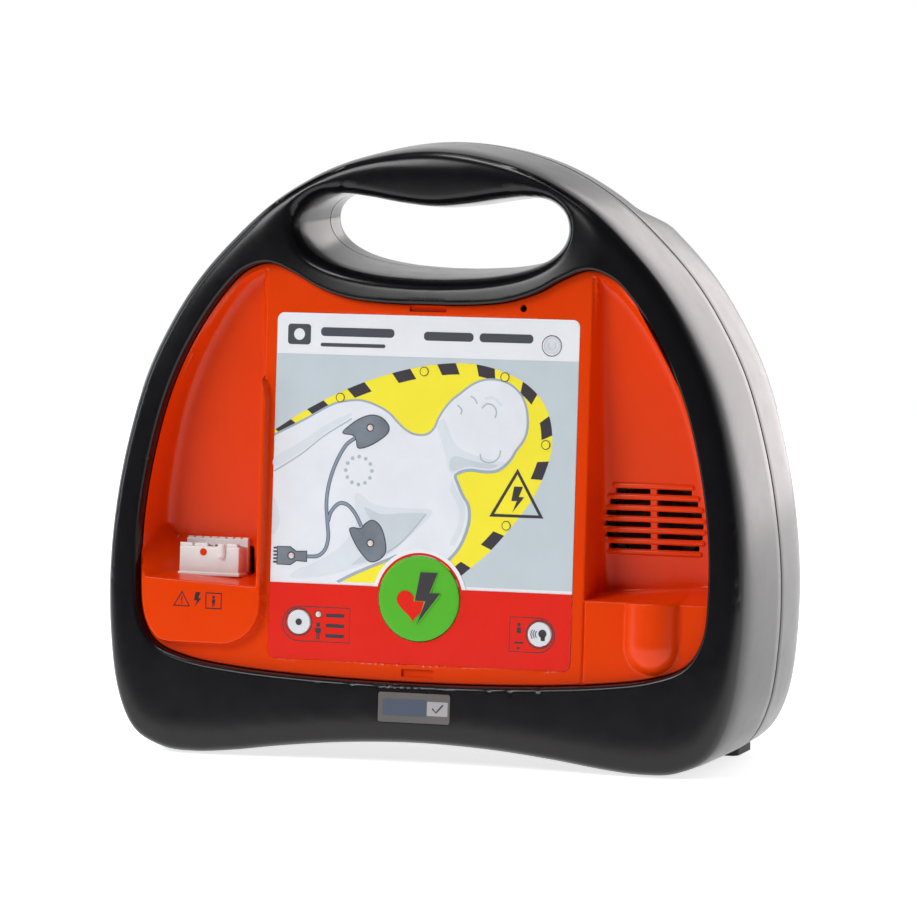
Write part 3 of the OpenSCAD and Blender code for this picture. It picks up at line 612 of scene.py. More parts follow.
def front_case():
    skin = Skin()
    edge = skin.loop(front_ring(1.3, 0.0))
    outer = skin.walls(edge, [front_ring(0.5, 0.0), front_ring(0.12, 0.008)]
                       + [front_ring(d, s) for d, s in profile_rows(SHOULDER, RIM_INSET, 13)])
    hole = skin.loop(lifted(rim_y)(HANDLE))
    opening = skin.loop(OPENING_FRONT)
    window_face = lcd_window_loop(0.25)
    window = np.column_stack([window_face[:, 0], window_face[:, 1] * COS + CROWN * SIN])
    lcd_edge = skin.loop(lifted(rim_y)(window))
    # The rings round the handle stop short of those along the rim, so that no two sets cross.
    by_handle = rings_around(HANDLE, [-0.25, -0.55, -0.9, -1.3, -1.75, -2.25, -2.8, -3.4, -4.1, -4.8, -5.8,
                                      -8, -11, -14])
    features = (rings_around(RIM_EDGE, [0.4, 0.9, 1.5, 2.2, 3.1, 4.1, 5.3, 6.8, 8.6])
                + rings_around(OPENING_FLAT, [-0.38, -0.55, -0.75, -1, -1.3, -1.7, -2.3, -3.2])
                + [ring[distance(ring, RIM_EDGE) > 8.9] for ring in by_handle]
                + rings_around(window, [-0.5, -1.2]))
    skin.sheet([RIM_EDGE, OPENING_FLAT, HANDLE, window], [outer, opening, hole, lcd_edge], lifted(rim_y),
               features, 2.2)
    # Inner skin, a wall's thickness behind, meets the outer one at the joint, the opening and the handle.
    deep = 25.2
    flange = [at_depth(inset(OPENING, d), deep + more) for d, more in [(5.0, 0.1), (5.0, 2), (-2.4, 2)]]
    opening_back = skin.walls(opening, [at_depth(OPENING, deep)] + flange)
    inner_flat = front_ring(3.6, 1.0, WALL)[:, [0, 2]]
    inner_y = lambda p: crown_y(p[:, 1]) + WALL + dish(p) + 4.2 * ease(distance(p, inner_flat), 6, 2)
    inner_opening = at_depth(inset(OPENING, -2.4), -1.0)
    opening_in = skin.walls(opening_back, [inner_opening])
    inner_edge = skin.walls(edge, [front_ring(0.4, 0.0, WALL)])
    inner_rows = [front_ring(d, s, WALL) for d, s in [(0.5, 0.3), (1.3, 0.7), (2.2, 0.84)]]
    inner_outer = skin.walls(inner_edge, inner_rows + [lifted(inner_y)(inner_flat)])
    front_hole = rim_y(HANDLE)
    hole_rows = []
    for t in [0.2, 0.4, 0.6, 0.8, 0.99]:
        ring = inset(HANDLE, 1.8 * (1 - (1 - t) ** 2))
        hole_rows.append(at_y(ring, front_hole + t * (PARTING_Y - front_hole)))
    joint = skin.walls(hole, hole_rows + flat_rings(HANDLE, [(1.2, PARTING_Y)]))
    hole_wall = flat_rings(HANDLE, [(-0.6, PARTING_Y), (-1.2, -10)])
    hole_in_flat = inset(HANDLE, -2.6)
    hole_in = skin.walls(joint, hole_wall + [lifted(inner_y)(hole_in_flat)])
    lcd_in = skin.walls(lcd_edge, [lifted(inner_y)(window)])
    skin.sheet([inner_flat, inner_opening[:, [0, 2]], hole_in_flat, window],
               [inner_outer, opening_in, hole_in, lcd_in], lifted(inner_y), spacing=6)
    return skin.make("case_front", FINISH["shell_black"], sharp=42, replaces=["front_shell"])


def back_y(p):
    """Back surface of the rear shell: the deep body, and the shallow zone behind the handle."""
    away = np.where(inside(p, HANDLE_BACK), -1, 1) * distance(p, HANDLE_BACK)
    t = np.clip((away + 1) / 14, 0, 1)
    return HANDLE_BACK_Y + (BACK_Y - HANDLE_BACK_Y) * t * t * (3 - 2 * t)


def rear_skin_y(p):
    y = PARTING_Y + profile(REAR_SHOULDER, distance(p, CASE)) * (back_y(p) - PARTING_Y)
    return y - 3.2 * ease(distance(p, HANDLE), 4.2, 2.2)


def flat_rings(outline, places):
    """Rings of the outline at constant Y, from (inset, y) pairs."""
    return [at_y(inset(outline, d), y) for d, y in places]


def rear_case():
    skin = Skin()
    edge = skin.loop(side_ring(1.3, 0.0, back_y))
    rows = [side_ring(0.5, 0.0, back_y), side_ring(0.12, 0.008, back_y)]
    rows += [side_ring(d, s, back_y) for d, s in profile_rows(REAR_SHOULDER, REAR_INSET, 13)]
    outer = skin.walls(edge, rows)
    back = inset(CASE, REAR_INSET)
    hole = skin.loop(lifted(rear_skin_y)(HANDLE))
    bay = subdivided(round_rect((-BAY_HALF, BAY_LOW), (BAY_HALF, BAY_HIGH), 2.0), 4)
    recesses = [circle((s * x, z), 3.8, 28) for x, z in SHELL_SCREWS[1:] for s in (-1, 1)]
    cuts = [bay] + recesses
    cut_ids = [skin.loop(lifted(rear_skin_y)(inset(c, -0.5))) for c in cuts]
    features = (rings_around(CASE, [3.1, 3.7, 4.4, 5.3, 6.4, 7.8, 9.5, 11.5])
                + rings_around(HANDLE, [-0.4, -0.9, -1.5, -2.3, -3.2, -4.4])
                + rings_around(HANDLE_BACK, [2, 1, -0.3, -1.6, -3, -4.4, -5.8, -7.2, -8.6, -10, -11.4, -12.8,
                                             -14])
                + [r for c in cuts for r in rings_around(c, [-1.1, -2])])
    skin.sheet([back, HANDLE] + [inset(c, -0.5) for c in cuts], [outer, hole] + cut_ids,
               lifted(rear_skin_y), features, 3.0)
    # Battery bay and screw recesses: a chamfered mouth, walls and a floor.
    for cut, ids, floor in zip(cuts, cut_ids, [BAY_FLOOR_Y] + [14.0] * len(recesses)):
        mouth = at_y(cut, rear_skin_y(cut) - 0.5)
        last = skin.walls(ids, [mouth] + flat_rings(cut, [(0, floor + 0.6), (0.5, floor)]))
        skin.sheet([inset(cut, 0.5)], [last], level(floor))
    # Hole of the handle, then the inner skin back to the joint.
    joint = skin.walls(hole, flat_rings(HANDLE, [(0.9, 22), (1.4, 21), (1.6, 19), (1.7, 14), (1.8, 8.4),
                                                 (1.2, PARTING_Y)]))
    inner_y = lambda p: rear_skin_y(p) - WALL
    hole_in_flat = inset(HANDLE, -2.8)
    hole_in = skin.walls(joint, flat_rings(HANDLE, [(-0.6, PARTING_Y), (-1.6, 14)])
                         + [lifted(inner_y)(hole_in_flat)])
    inner_edge = skin.walls(edge, [side_ring(WALL + 0.4, 0.0, back_y)])
    inner_outer = skin.walls(inner_edge, [side_ring(WALL + d, s, lambda p: back_y(p) - WALL)
                                          for d, s in [(0.6, 0.4), (0.9, 0.66), (2.6, 0.857)]])
    walls_in = [inset(c, -1.9) for c in cuts]
    wall_ids = [skin.loop(lifted(inner_y)(w)) for w in walls_in]
    skin.sheet([inset(CASE, WALL + REAR_INSET), hole_in_flat] + walls_in, [inner_outer, hole_in] + wall_ids,
               lifted(inner_y), rings_around(HANDLE_BACK, [0, -3, -6, -9, -12]), 7.0)
    for w, ids, floor in zip(walls_in, wall_ids, [BAY_FLOOR_Y - 2] + [11.5] * len(recesses)):
        last = skin.walls(ids, flat_rings(w, [(0, floor)]))
        skin.sheet([w], [last], level(floor))
    return skin.make("case_rear", FINISH["shell_black"], sharp=42, replaces=["rear_shell"])


# ---- Control panel ----

PANEL = inset(OPENING, 0.3)
TILT = math.tan(math.atan((BAY_DEEP - BAY_SHALLOW) / (BAY_TOP - 71)))
U_BLOCK = {"proud": 3.8, "left": -125.0, "right": -67.7, "low": 45.4, "radius": 18.0, "flank": 0.9}
BULGE = {"at": (99.5, 52.8), "r": 12.4, "axis": 5.0}
GROOVE_DEPTH = 0.9


def smooth_min(a, b, k):
    """The lower of two heights, with a round of about k where they meet."""
    h = np.clip(0.5 + 0.5 * (b - a) / k, 0, 1)
    return b * (1 - h) + a * h - k * h * (1 - h)


def bay_floor(v):
    """Depth of the bays' floor, which comes forward towards the top."""
    return BAY_DEEP - (v - 71) * TILT


def shelf_line(x):
    """Height of the shelves' front edges: the left one rises a little outwards."""
    return SHELF_V + np.where(x < 0, 0.05 * (np.abs(x) - CENTRE_HALF), 0.0)


def shelf_rise(x):
    """How much higher the shelves are at their backs: the right one twists up towards its outer end."""
    return np.where(x < 0, 3.9, 2.5 + 0.078 * np.maximum(x - CENTRE_HALF, 0))


def well(b, top, floor, draft, edge, fillet):
    """Depth across a wall that starts at b = 0: rounded edge, drafted wall, rounded foot, floor."""
    drop = np.maximum(floor - top, edge + fillet + 0.01)
    rounded = edge - np.sqrt(np.maximum(edge**2 - np.clip(b + edge, 0, edge) ** 2, 0))
    wall = edge + (drop - fillet - edge) * np.clip(b / draft, 0, 1)
    foot = np.clip(b - draft, 0, fillet)
    bottom = drop - fillet + np.sqrt(np.maximum(fillet**2 - (fillet - foot) ** 2, 0))
    return top + np.where(b < 0, rounded, np.where(b < draft, wall, bottom))


def block_proud(x, v):
    """How far the block under the connector stands forward."""
    u = U_BLOCK
    centre = np.array([(u["left"] + u["right"]) / 2, u["low"] + 60])
    half = np.array([(u["right"] - u["left"]) / 2, 60.0]) - u["radius"]
    qx, qy = np.abs(x - centre[0]) - half[0], np.abs(v - centre[1]) - half[1]
    sdf = np.hypot(np.maximum(qx, 0), np.maximum(qy, 0)) + np.minimum(np.maximum(qx, qy), 0) - u["radius"]
    t = np.clip(-sdf / u["flank"], 0, 1)
    return u["proud"] * t * t * (3 - 2 * t)


def bulge_proud(x, v):
    """How far the half-round bulge on the right stands forward."""
    dx, dv = x - BULGE["at"][0], np.minimum(v - BULGE["at"][1], 0)
    lift = np.sqrt(np.maximum(BULGE["r"] ** 2 - dx**2 - dv**2, 0)) - BULGE["axis"]
    return -smooth_min(np.zeros_like(lift), -lift, 0.7)


def panel_depth(p, grow=0.0):
    """Depth of the panel's front skin, or with grow of its back skin, in face coordinates."""
    x, v = p[:, 0], p[:, 1]
    side = np.abs(x)
    edge_gap = distance(p, PANEL)
    floor = bay_floor(v)
    guard = np.clip((edge_gap - 0.9) / 1.2, 0, 1)
    top = -(block_proud(x, v) * guard + bulge_proud(x, v))
    line = shelf_line(x)
    groove = GROOVE_DEPTH * np.exp(-(((x - CENTRE_HALF) / 0.42) ** 2)) * (v < line - 0.5)
    if grow:
        groove = groove * 0
    centre = well(side - CENTRE_HALF + grow, top, floor, 1.3, 0.8, 4.5)
    shelf = well(v - line + grow, top, floor, shelf_rise(x), 0.7, 1.6)
    outer = well(edge_gap + grow + 0.2, top, floor, 2.4, 0.2, 5.0)
    gusset = np.where(x < 0, (v - line + grow - 1.26 * (side - 116)) / 1.015, 99.0)
    depth = smooth_min(smooth_min(centre, shelf, 0.5), outer, 0.8)
    depth = smooth_min(depth, np.maximum(gusset, top), 0.5)
    depth = np.maximum(depth, top)
    at_edge = 0.3 * ease(edge_gap, 0.6, 2)
    return depth + groove + at_edge + grow


def wall_lines():
    """Points along the panel's walls, shelves, block and bulge, close enough for crisp rounded edges."""
    lines = []
    up = np.arange(36, 204, 1.1)
    for a in [-3.2, -2.6, -2, -1.4, -0.9, -0.6, -0.4, -0.2, 0, 0.2, 0.45, 0.75, 1.0, 1.3, 1.7, 2.2, 2.8, 3.6,
              4.6, 5.8]:
        for s in (-1, 1):
            lines.append(np.column_stack([np.full(len(up), s * (CENTRE_HALF + a)), up]))
    across = np.arange(CENTRE_HALF - 3, 124, 0.7)
    for s in (-1, 1):
        for a in [-3, -2.2, -1.5, -1, -0.7, -0.5, -0.3, -0.1, 0.05]:
            lines.append(np.column_stack([s * across, shelf_line(s * across) + a]))
        for t in [0.1, 0.25, 0.45, 0.65, 0.85, 1, 1.12, 1.25, 1.4, 1.6, 1.9]:
            lines.append(np.column_stack([s * across, shelf_line(s * across) + t * shelf_rise(s * across)]))
    lines += rings_around(subdivided(PANEL, 1.2),
                          [0.3, 0.6, 0.9, 1.2, 1.6, 2, 2.4, 2.9, 3.5, 4.2, 5, 6, 7.2, 8.6])
    u = U_BLOCK
    edge = round_rect((u["left"], u["low"]), (u["right"], 72), u["radius"], 24)
    edge = subdivided(edge, 0.7)
    lines += rings_around(edge, [-0.3, 0, 0.2, 0.4, 0.6, 0.8, 1.0, 1.4])
    xs, vs = np.meshgrid(np.arange(86, 113, 0.8), np.arange(39, 75, 1.0))
    lines.append(np.column_stack([xs.ravel(), vs.ravel()]))
    return lines


def slot_outlines():
    """Slots of the grille, as closed outlines with round ends."""
    slots = []
    for i in range(-3, 3):
        reach = 21 - 0.5 * (i - 0.1) ** 2
        v = GRILLE_AT[1] - (i + 0.5) * GRILLE_PITCH
        for a, b in ((-reach, -1.3), (1.3, reach)):
            slots.append(round_rect((GRILLE_AT[0] + a, v - 1.05), (GRILLE_AT[0] + b, v + 1.05), 0.5, 3))
    return slots


def control_panel():
    skin = Skin()
    label = round_rect((-LABEL_W / 2 - 0.2, LABEL_LOW - 0.2), (LABEL_W / 2 + 0.2, LABEL_TOP + 0.2), 3.2)
    holes = [circle(SHOCK_AT, SHOCK_R + KEY_GAP, 72)]
    small_keys = (CHILD_AT, SMALL_R), (INFO_AT, SMALL_R), (POWER_AT, POWER_R)
    holes += [circle(at, r + KEY_GAP) for at, r in small_keys]
    holes += [circle(MIC_AT, 1.5, 24)] + [circle(p, LENS_R, 16) for p in STATUS_AT + MARKER_AT]
    holes += [round_rect((-8, 184.9), (8, 187.4), 0.4, 3), round_rect((-7, 35.9), (7, 39), 0.4, 3)]
    holes += [round_rect((-82.9, 74), (-80.5, 86), 1.1, 5)] + slot_outlines()

    def recessed(p, grow=0.0):
        depth = panel_depth(p, grow)
        gap = np.where(inside(p, label), 1, -1) * distance(p, label)
        return depth + (0 if grow else 0.5 * np.clip(gap / 0.12, 0, 1))

    features = wall_lines() + rings_around(subdivided(label, 3), [0.01, 0.2])
    outlines = [PANEL] + [subdivided(h, 2.5) for h in holes]
    points, faces = triangulate(outlines, features, 3.4)
    for grow in (0.0, PANEL_WALL):
        ids = skin.loop(at_depth(points, recessed(points, grow)))
        skin.faces += [tuple(ids[i] for i in f) for f in faces]
    start, far = 0, len(points)
    for outline in outlines:
        near = list(range(start, start + len(outline)))
        skin.bridge(near, [i + far for i in near])
        start += len(outline)
    return skin.make("panel_moulding", FINISH["panel_orange"], sharp=50,
                     replaces=["control_panel"])


def grille():
    """Half-round ribs in front of the slots, each a closed bar with round ends."""
    skin = Skin()
    r, steps = 1.25, 14
    for i in range(-3, 4):
        v = GRILLE_AT[1] - i * GRILLE_PITCH
        reach = 22.5 - 0.36 * (i - 0.7) ** 2
        depth = bay_floor(v) + 0.05
        stations = [(-reach + r * (1 - math.cos(a)), r * math.sin(a))
                    for a in np.linspace(0.02, math.pi / 2, 6)]
        stations += [(-x, s) for x, s in stations[::-1]]
        rings = []
        for x, size in stations:
            a = np.arange(steps) * 2 * math.pi / steps
            rings.append(on_face(GRILLE_AT[0] + x, depth + size * np.cos(a), v + size * np.sin(a)))
        skin.capped(rings)
    return skin.make("grille_ribs", FINISH["panel_orange"], sharp=60)


# ---- Round pieces ----

def turned(name, at, rings, material, body, steps=72, replaces=()):
    """A turned piece on the face, from (radius, depth) rings, closed at both ends."""
    skin = Skin()
    a = -np.arange(steps) * 2 * math.pi / steps
    skin.capped([on_face(at[0] + r * np.cos(a), d, at[1] + r * np.sin(a)) for r, d in rings])
    return skin.make(name, material, body, 35, replaces)


def cap_rings(r, front, dish, stem):
    """Profile of a button: slightly dished top, soft edge, skirt, collar and stem."""
    edge, collar, collar_back = 0.45, 3.2, 4.2
    corner = [(r - edge + edge * math.sin(t), front + edge * (1 - math.cos(t)))
              for t in np.linspace(0, math.pi / 2, 5)]
    return ([(0.4, front + dish), (r * 0.5, front + dish * 0.8), (r * 0.85, front + dish * 0.2)] + corner
            + [(r, collar), (r + 1.3, collar), (r + 1.3, collar_back), (stem, collar_back), (stem, 6.2)])


# ---- Printed foil ----

def rect(x0, x1, v0, v1, r=0.0):
    """A rectangle, with round corners where a radius is given."""
    if r:
        return round_rect((x0, v0), (x1, v1), r)
    return np.array([(x0, v1), (x1, v1), (x1, v0), (x0, v0)], float)


def heart(at, w, steps=40):
    """A plain heart from a formula, point down."""
    t = np.linspace(0, 2 * math.pi, steps, endpoint=False)
    x = 16 * np.sin(t) ** 3
    y = 13 * np.cos(t) - 5 * np.cos(2 * t) - 2 * np.cos(3 * t) - np.cos(4 * t)
    return np.column_stack([at[0] + x * w / 32, at[1] + y * w / 32])


def bolt(at, h):
    """A plain lightning bolt of that height."""
    shape = [(-0.14, 0.5), (0.22, 0.5), (0.06, 0.1), (0.28, 0.1), (-0.18, -0.5), (-0.02, -0.06),
             (-0.24, -0.06)]
    return np.array([(at[0] + x * h, at[1] + y * h) for x, y in shape])


BAND = [(-65.3, 134.8), (-51, 143.8), (-33.5, 152.7), (-15, 159.4), (3, 163.4), (19.3, 164.3), (33.8, 161.2),
        (45.6, 155), (52.8, 145.5), (55, 134), (53.4, 124.5), (48.2, 112), (40.5, 101), (30, 88.8),
        (20.6, 80.5), (12, 73.6)]
FIGURE = [(-65.3, 132.4), (-52.6, 138.8), (-41, 145.2), (-34.5, 147.1), (-28.2, 147.6), (-21.7, 146),
          (-15.8, 143), (-11.5, 138.9), (-7.8, 136), (-3.7, 134.4), (1.3, 134.7), (4.6, 137.5), (6.8, 142.4),
          (10.8, 148), (16.1, 152.4), (20.5, 155.6), (24.9, 157.4), (29.6, 157.8), (34.8, 156.7), (39, 154),
          (42, 150), (43.6, 144.4), (43.7, 138.5), (42.2, 134), (39.2, 129.9), (37.2, 126.5), (34, 123.2),
          (30.5, 121.5), (26, 121.3), (20.6, 121.8), (16.2, 120.9), (13.3, 118.8), (14.6, 115), (16.8, 110.5),
          (19.3, 106.5), (19.8, 101), (18.3, 94.9), (15.4, 89), (11, 84)]
FIGURE_LOW = [(-11, 85.6), (-14.3, 84), (-23.3, 80.2), (-30.5, 76.9), (-36.8, FIELD_LOW)]
PAD_HIGH = [(-35.3, 134.6), (-31.5, 138.2), (-27.1, 140.9), (-22.5, 142.1), (-18.4, 141), (-15.5, 137.9),
            (-16, 134.9), (-19.5, 132), (-24, 129.5), (-28.4, 128.6), (-29.3, 131.6), (-31, 133.8)]
PAD_LOW = [(-31, 94.6), (-29.8, 95.8), (-26.3, 95.6), (-24.4, 97.6), (-21.8, 99.1), (-19.2, 98.2),
           (-17, 95.3), (-15.5, 90.4), (-15.4, 86.2), (-18, 83.3), (-21.6, 82.3), (-24.6, 84.5), (-28.2, 89)]
LEAD_HIGH = [(-30.2, 132.4), (-34.2, 129), (-38.2, 121.5), (-40.7, 113.5), (-41.6, 106), (-41, 98),
             (-40.4, 91.5), (-41.6, 86.6), (-44.6, 83.8), (-49.4, 83.3)]
LEAD_LOW = [(-40.7, 98), (-39.4, 102.2), (-36, 105.6), (-32.2, 105), (-28.8, 101.4), (-26, 96.4)]
PLUG = [(-62.5, 87), (-56.8, 87), (-54.2, 85.2), (-49.6, 85.5), (-49.5, 81.2), (-54, 81.5), (-56.6, 79.7),
        (-62.5, 79.7)]


def layer(name, outlines, ink, level):
    """One printed layer on the foil; higher levels lie over lower ones."""
    return plate(name, outlines, INK[ink], -0.03 - 0.018 * level, 0.05)


def foil_print():
    """The picture above the red field: where the pads go, on a plain dummy's figure."""
    half = LABEL_W / 2
    layer("print_field", [[rect(-half, half, FIELD_LOW, FIELD_TOP)]], "field", 0)
    band = smooth(BAND, 8, closed=False)
    layer("print_zone", [[np.vstack([band, [(-half, FIELD_LOW)]])]], "yellow", 1)
    layer("print_dashes", [[d] for d in dashes(band)], "dark", 2)
    windows = [circle(p, MARKER_R, 32) for p in MARKER_AT]
    layer("print_marker_windows", [[w] for w in windows], "yellow", 12)
    layer("print_marker_rings", [frame_line(w, 0.3) for w in windows], "dark", 13)
    top, low = smooth(FIGURE, 6, closed=False), smooth(FIGURE_LOW, 6, closed=False)
    figure = np.vstack([top, low, [(-half, FIELD_LOW)]])
    # The dark edge is a little wider on the side away from the light.
    width = 0.85 + 0.45 * np.clip((np.arange(len(top)) / len(top) - 0.5) * 4, 0, 1)
    edge_top = top + width[:, None] * outward(top)
    edge_low = low + 1.25 * outward(low)
    edge_low[-1, 1] = FIELD_LOW
    edge_top[0, 0] = -half
    layer("print_figure_edge", [[np.vstack([edge_top, edge_low, [(-half, FIELD_LOW)]])]], "rim", 3)
    layer("print_figure", [[figure]], "body", 5)
    figure_details()
    electrodes()
    plate("print_light_ring", [[circle(SHOCK_AT, 20.3, 96), circle(SHOCK_AT, SHOCK_R + KEY_GAP, 96)]],
          INK["white"], -0.27, 0.05)


def outward(line):
    """Unit vectors to the left of an open line that runs clockwise round its shape."""
    run = np.gradient(line, axis=0)
    return np.column_stack([-run[:, 1], run[:, 0]]) / np.linalg.norm(run, axis=1)[:, None]


def dashes(band):
    """Slanted dark dashes along the outer edge of the yellow zone."""
    length = np.concatenate([[0], np.cumsum(np.linalg.norm(np.diff(band, axis=0), axis=1))])
    into = -outward(band)

    def at(s, depth):
        s = min(max(s, 0.01), length[-1] - 0.01)
        p = np.array([np.interp(s, length, band[:, k]) for k in (0, 1)])
        n = np.array([np.interp(s, length, into[:, k]) for k in (0, 1)])
        return p + n / np.linalg.norm(n) * depth

    result = []
    dash, depth, lean = 8.0, 4.6, 1.8
    for start in (0.4, 16.6, 36.0, 56.6, 76.4, 93.4, 114.6, 132.8, 151.5, 187.5, 207.0):
        edge = [at(start + dash * k / 4, -0.02) for k in range(5)]
        inner = [at(start + lean + dash * k / 4, depth) for k in range(4, -1, -1)]
        result.append(np.array(edge + inner))
    result[0][:, 0] = np.maximum(result[0][:, 0], -LABEL_W / 2)
    return result


def figure_details():
    """Soft shading in two tones, and a few plain lines."""
    soft = [[(-29, 110), (-20, 105.5), (-8, 104.6), (4.5, 104), (-1, 97), (-7.5, 91), (-13.5, 85.8),
             (-23, 81.5), (-32, 78.2), (-44, 75.2), (-56, 74.4), (-54, 77.6), (-44, 82), (-34, 89),
             (-28.6, 97)],
            [(5.6, 139), (8.4, 141.6), (10.6, 137), (13.6, 131.4), (18.6, 128.4), (25, 126.6), (31, 125.2),
             (35.4, 124.8), (33.4, 123), (30.3, 121.9), (26, 121.7), (20.6, 122.2), (16.4, 121.3),
             (13.6, 119.4), (11, 121), (9.6, 126), (7.4, 133)],
            [(-64.6, 119.8), (-58, 123.4), (-50, 128.8), (-42, 135), (-32, 141.4), (-33.6, 142.2),
             (-44, 136.8), (-53, 130.6), (-64.6, 123.8)],
            [(-65, 92), (-62, 97), (-63.4, 104), (-65, 107)],
            [(13, 117.4), (14.3, 113.2), (17.6, 108.4), (18.8, 104), (17.6, 97), (14.6, 90.6), (12.4, 91),
             (15.2, 97), (16.2, 103.4), (14.6, 108), (11.8, 113)]]
    shade = [[(-25, 104.4), (-17.5, 101.9), (-8, 102.6), (1.6, 102.6), (-2.6, 97.4), (-8.4, 91),
              (-14.2, 86.2), (-22, 82.6), (-30, 80.6), (-24, 86), (-20.6, 93), (-22, 99)],
             [(12, 120.6), (11.4, 124.6), (13.8, 126.6), (20, 125.2), (27, 124), (32, 123.6), (29.6, 122.1),
              (25, 122.1), (20.4, 122.6), (16, 121.6)]]
    layer("print_soft_shade", [[smooth(p, 6)] for p in soft], "soft", 6)
    layer("print_shade", [[smooth(p, 6)] for p in shade], "shade", 7)
    lines = [[(-65, 117.8), (-58.5, 121.8), (-52.2, 126), (-43.3, 133.1), (-31.6, 140.4)],
             [(24.4, 127.9), (25, 125.6), (27.4, 124.4), (30.4, 124.9), (32.6, 127.1), (33, 129.6)],
             [(24.6, 146.4), (26.6, 148.2), (29.4, 147.6), (30.8, 145.2), (30.3, 142.6)],
             [(19.6, 151.2), (21.4, 150), (22.4, 148.2)],
             [(14, 147.4), (15.8, 145.6), (15.6, 143.6)],
             [(1.8, 102.6), (-3, 96.6), (-9, 90.2), (-14.6, 86.2)]]
    layer("print_figure_lines", [[stroke(p, 0.6)] for p in lines], "line", 8)
    layer("print_brow", [[stroke([(25.6, 150.4), (29.6, 150.6), (33, 147.6)], 1.1)]], "soft", 8)
    dots = [circle((-27.9 + 5.7 * math.sin(a), 119.3 + 5.7 * math.cos(a)), 0.8, 12)
            for a in np.arange(12) * math.pi / 6]
    layer("print_dotted_circle", [[d] for d in dots], "line", 8)


def electrodes():
    """Two pads, their leads and the plug."""
    layer("print_leads_edge", [[stroke(p, 1.6)] for p in (LEAD_HIGH, LEAD_LOW)], "grey", 7)
    layer("print_leads", [[stroke(LEAD_HIGH, 1.0)], [stroke(LEAD_LOW, 1.0)]], "outline", 9)
    pads = [smooth(PAD_HIGH, 5), smooth(PAD_LOW, 5)]
    teeth = [rect(-64.2, -62.2, 80.2 + 1.45 * k, 81 + 1.45 * k) for k in range(5)]
    plug = np.array(PLUG, float)
    layer("print_pads_edge", [[inset(p, -0.3)] for p in pads] + [[inset(plug, -0.25)]] + [[t] for t in teeth],
          "grey", 10)
    layer("print_pads", [[inset(p, 0.15)] for p in pads] + [[inset(plug, 0.2)]], "pad", 11)
    for k, at in enumerate(STATUS_AT):
        front = -0.27 if k < 3 else -0.3
        ring = [circle(at, LENS_R, 32), circle(at, 1.3, 32)]
        plate(f"lens_ring_{k + 1}", [ring], INK["dark"], front)
        dome = [(0.3, front - 0.2), (0.8, front - 0.14), (1.15, front), (1.3, front + 0.2), (1.3, 0)]
        turned(f"lens_dome_{k + 1}", at, dome, FINISH["lens_clear"], "case", 32)


def red_print():
    """The red field round the buttons, with the plain marks of the two small keys."""
    half, rise_r = LABEL_W / 2, 18.7
    corners = round_rect((-half, LABEL_LOW), (half, BAND_TOP + 20), 3)
    corners = np.vstack([[(-half, BAND_TOP), (half, BAND_TOP)], corners[corners[:, 1] < BAND_TOP - 20]])
    rise = math.acos((BAND_TOP - SHOCK_AT[1]) / rise_r)
    outline = np.vstack([corners[:1], arc(SHOCK_AT, rise_r, -rise, rise, 48), corners[1:]])
    cuts = [circle(SHOCK_AT, SHOCK_R + KEY_GAP, 96)]
    cuts += [circle(p, SMALL_R + KEY_GAP) for p in (CHILD_AT, INFO_AT)]
    cuts.append(circle(STATUS_AT[3], LENS_R, 24))
    plate("print_red_field", [[outline] + cuts], INK["red"], -0.28)
    ring_in = [frame_line(circle(p, SMALL_R + 0.75, 64), 0.4) for p in (CHILD_AT, INFO_AT)]
    child_frame = np.array(arc((-52.1, 55.7), 7.1, -math.pi, 0, 20) + [(-29.9, 62.8), (-29.9, 48.6)])
    info_frame = np.array([(39.3, 48.3), (39.3, 62.3)] + arc((51.6, 55.3), 7, 0, math.pi, 20))
    marks = [frame_line(child_frame, 0.4), frame_line(info_frame, 0.4)] + ring_in
    child = [[circle((-43.6, 55.6), 0.95, 20)], [rect(-44.9, -42.3, 52.2, 54.3, 0.5)],
             [rect(-44.3, -43.75, 49.6, 52.4)], [rect(-43.45, -42.9, 49.6, 52.4)]]
    bars = [[rect(-40.4, -32.2, v, v + 1.5, 0.6)] for v in (50.4, 54.6, 58.8)]
    person = [[circle((43.2, 59.4), 0.8, 20)], [rect(42.3, 44.1, 55.8, 58.2, 0.4)],
              [rect(41.4, 45.2, 51.6, 52.4)], [rect(42.6, 43.8, 49.4, 50.2)]]
    plate("print_key_marks", marks + child + bars + person, INK["dark"], -0.31)


def header_print():
    """Plain bars where the header has its words."""
    bars = [[rect(-60.6, -50.6, 170.2, 178.6, 1.4), circle((-55.6, 174.4), 2.4, 32)],
            [rect(-46.2, -14.2, 173.9, 177.5, 1.6)], [rect(-46.2, -18, 169.6, 171.1, 0.7)],
            [rect(-1.4, 20, 173.2, 176.8, 1.6)], [rect(22.6, 45.6, 173.2, 176.8, 1.6)]]
    plate("print_header_bars", bars, INK["grey"], -0.05)


def power_symbol():
    """An open ring within a ring."""
    ends = 0.7, 2 * math.pi - 0.7
    broken = arc(POWER_AT, 1.75, *ends, 28) + arc(POWER_AT, 1.3, *ends, 28)[::-1]
    return [frame_line(circle(POWER_AT, 3.1, 48), 0.35), [np.array(broken)]]


def warning_triangle():
    """A plain triangle round a bolt."""
    shape = np.array([(40.6, 122.4), (52.2, 102.6), (29, 102.6)])
    centre = shape.mean(0)
    hole = centre + (shape - centre) * 0.82
    plate("print_triangle", [[shape, hole], [bolt((40.8, 109.9), 10.5)]], INK["dark"], -0.11)


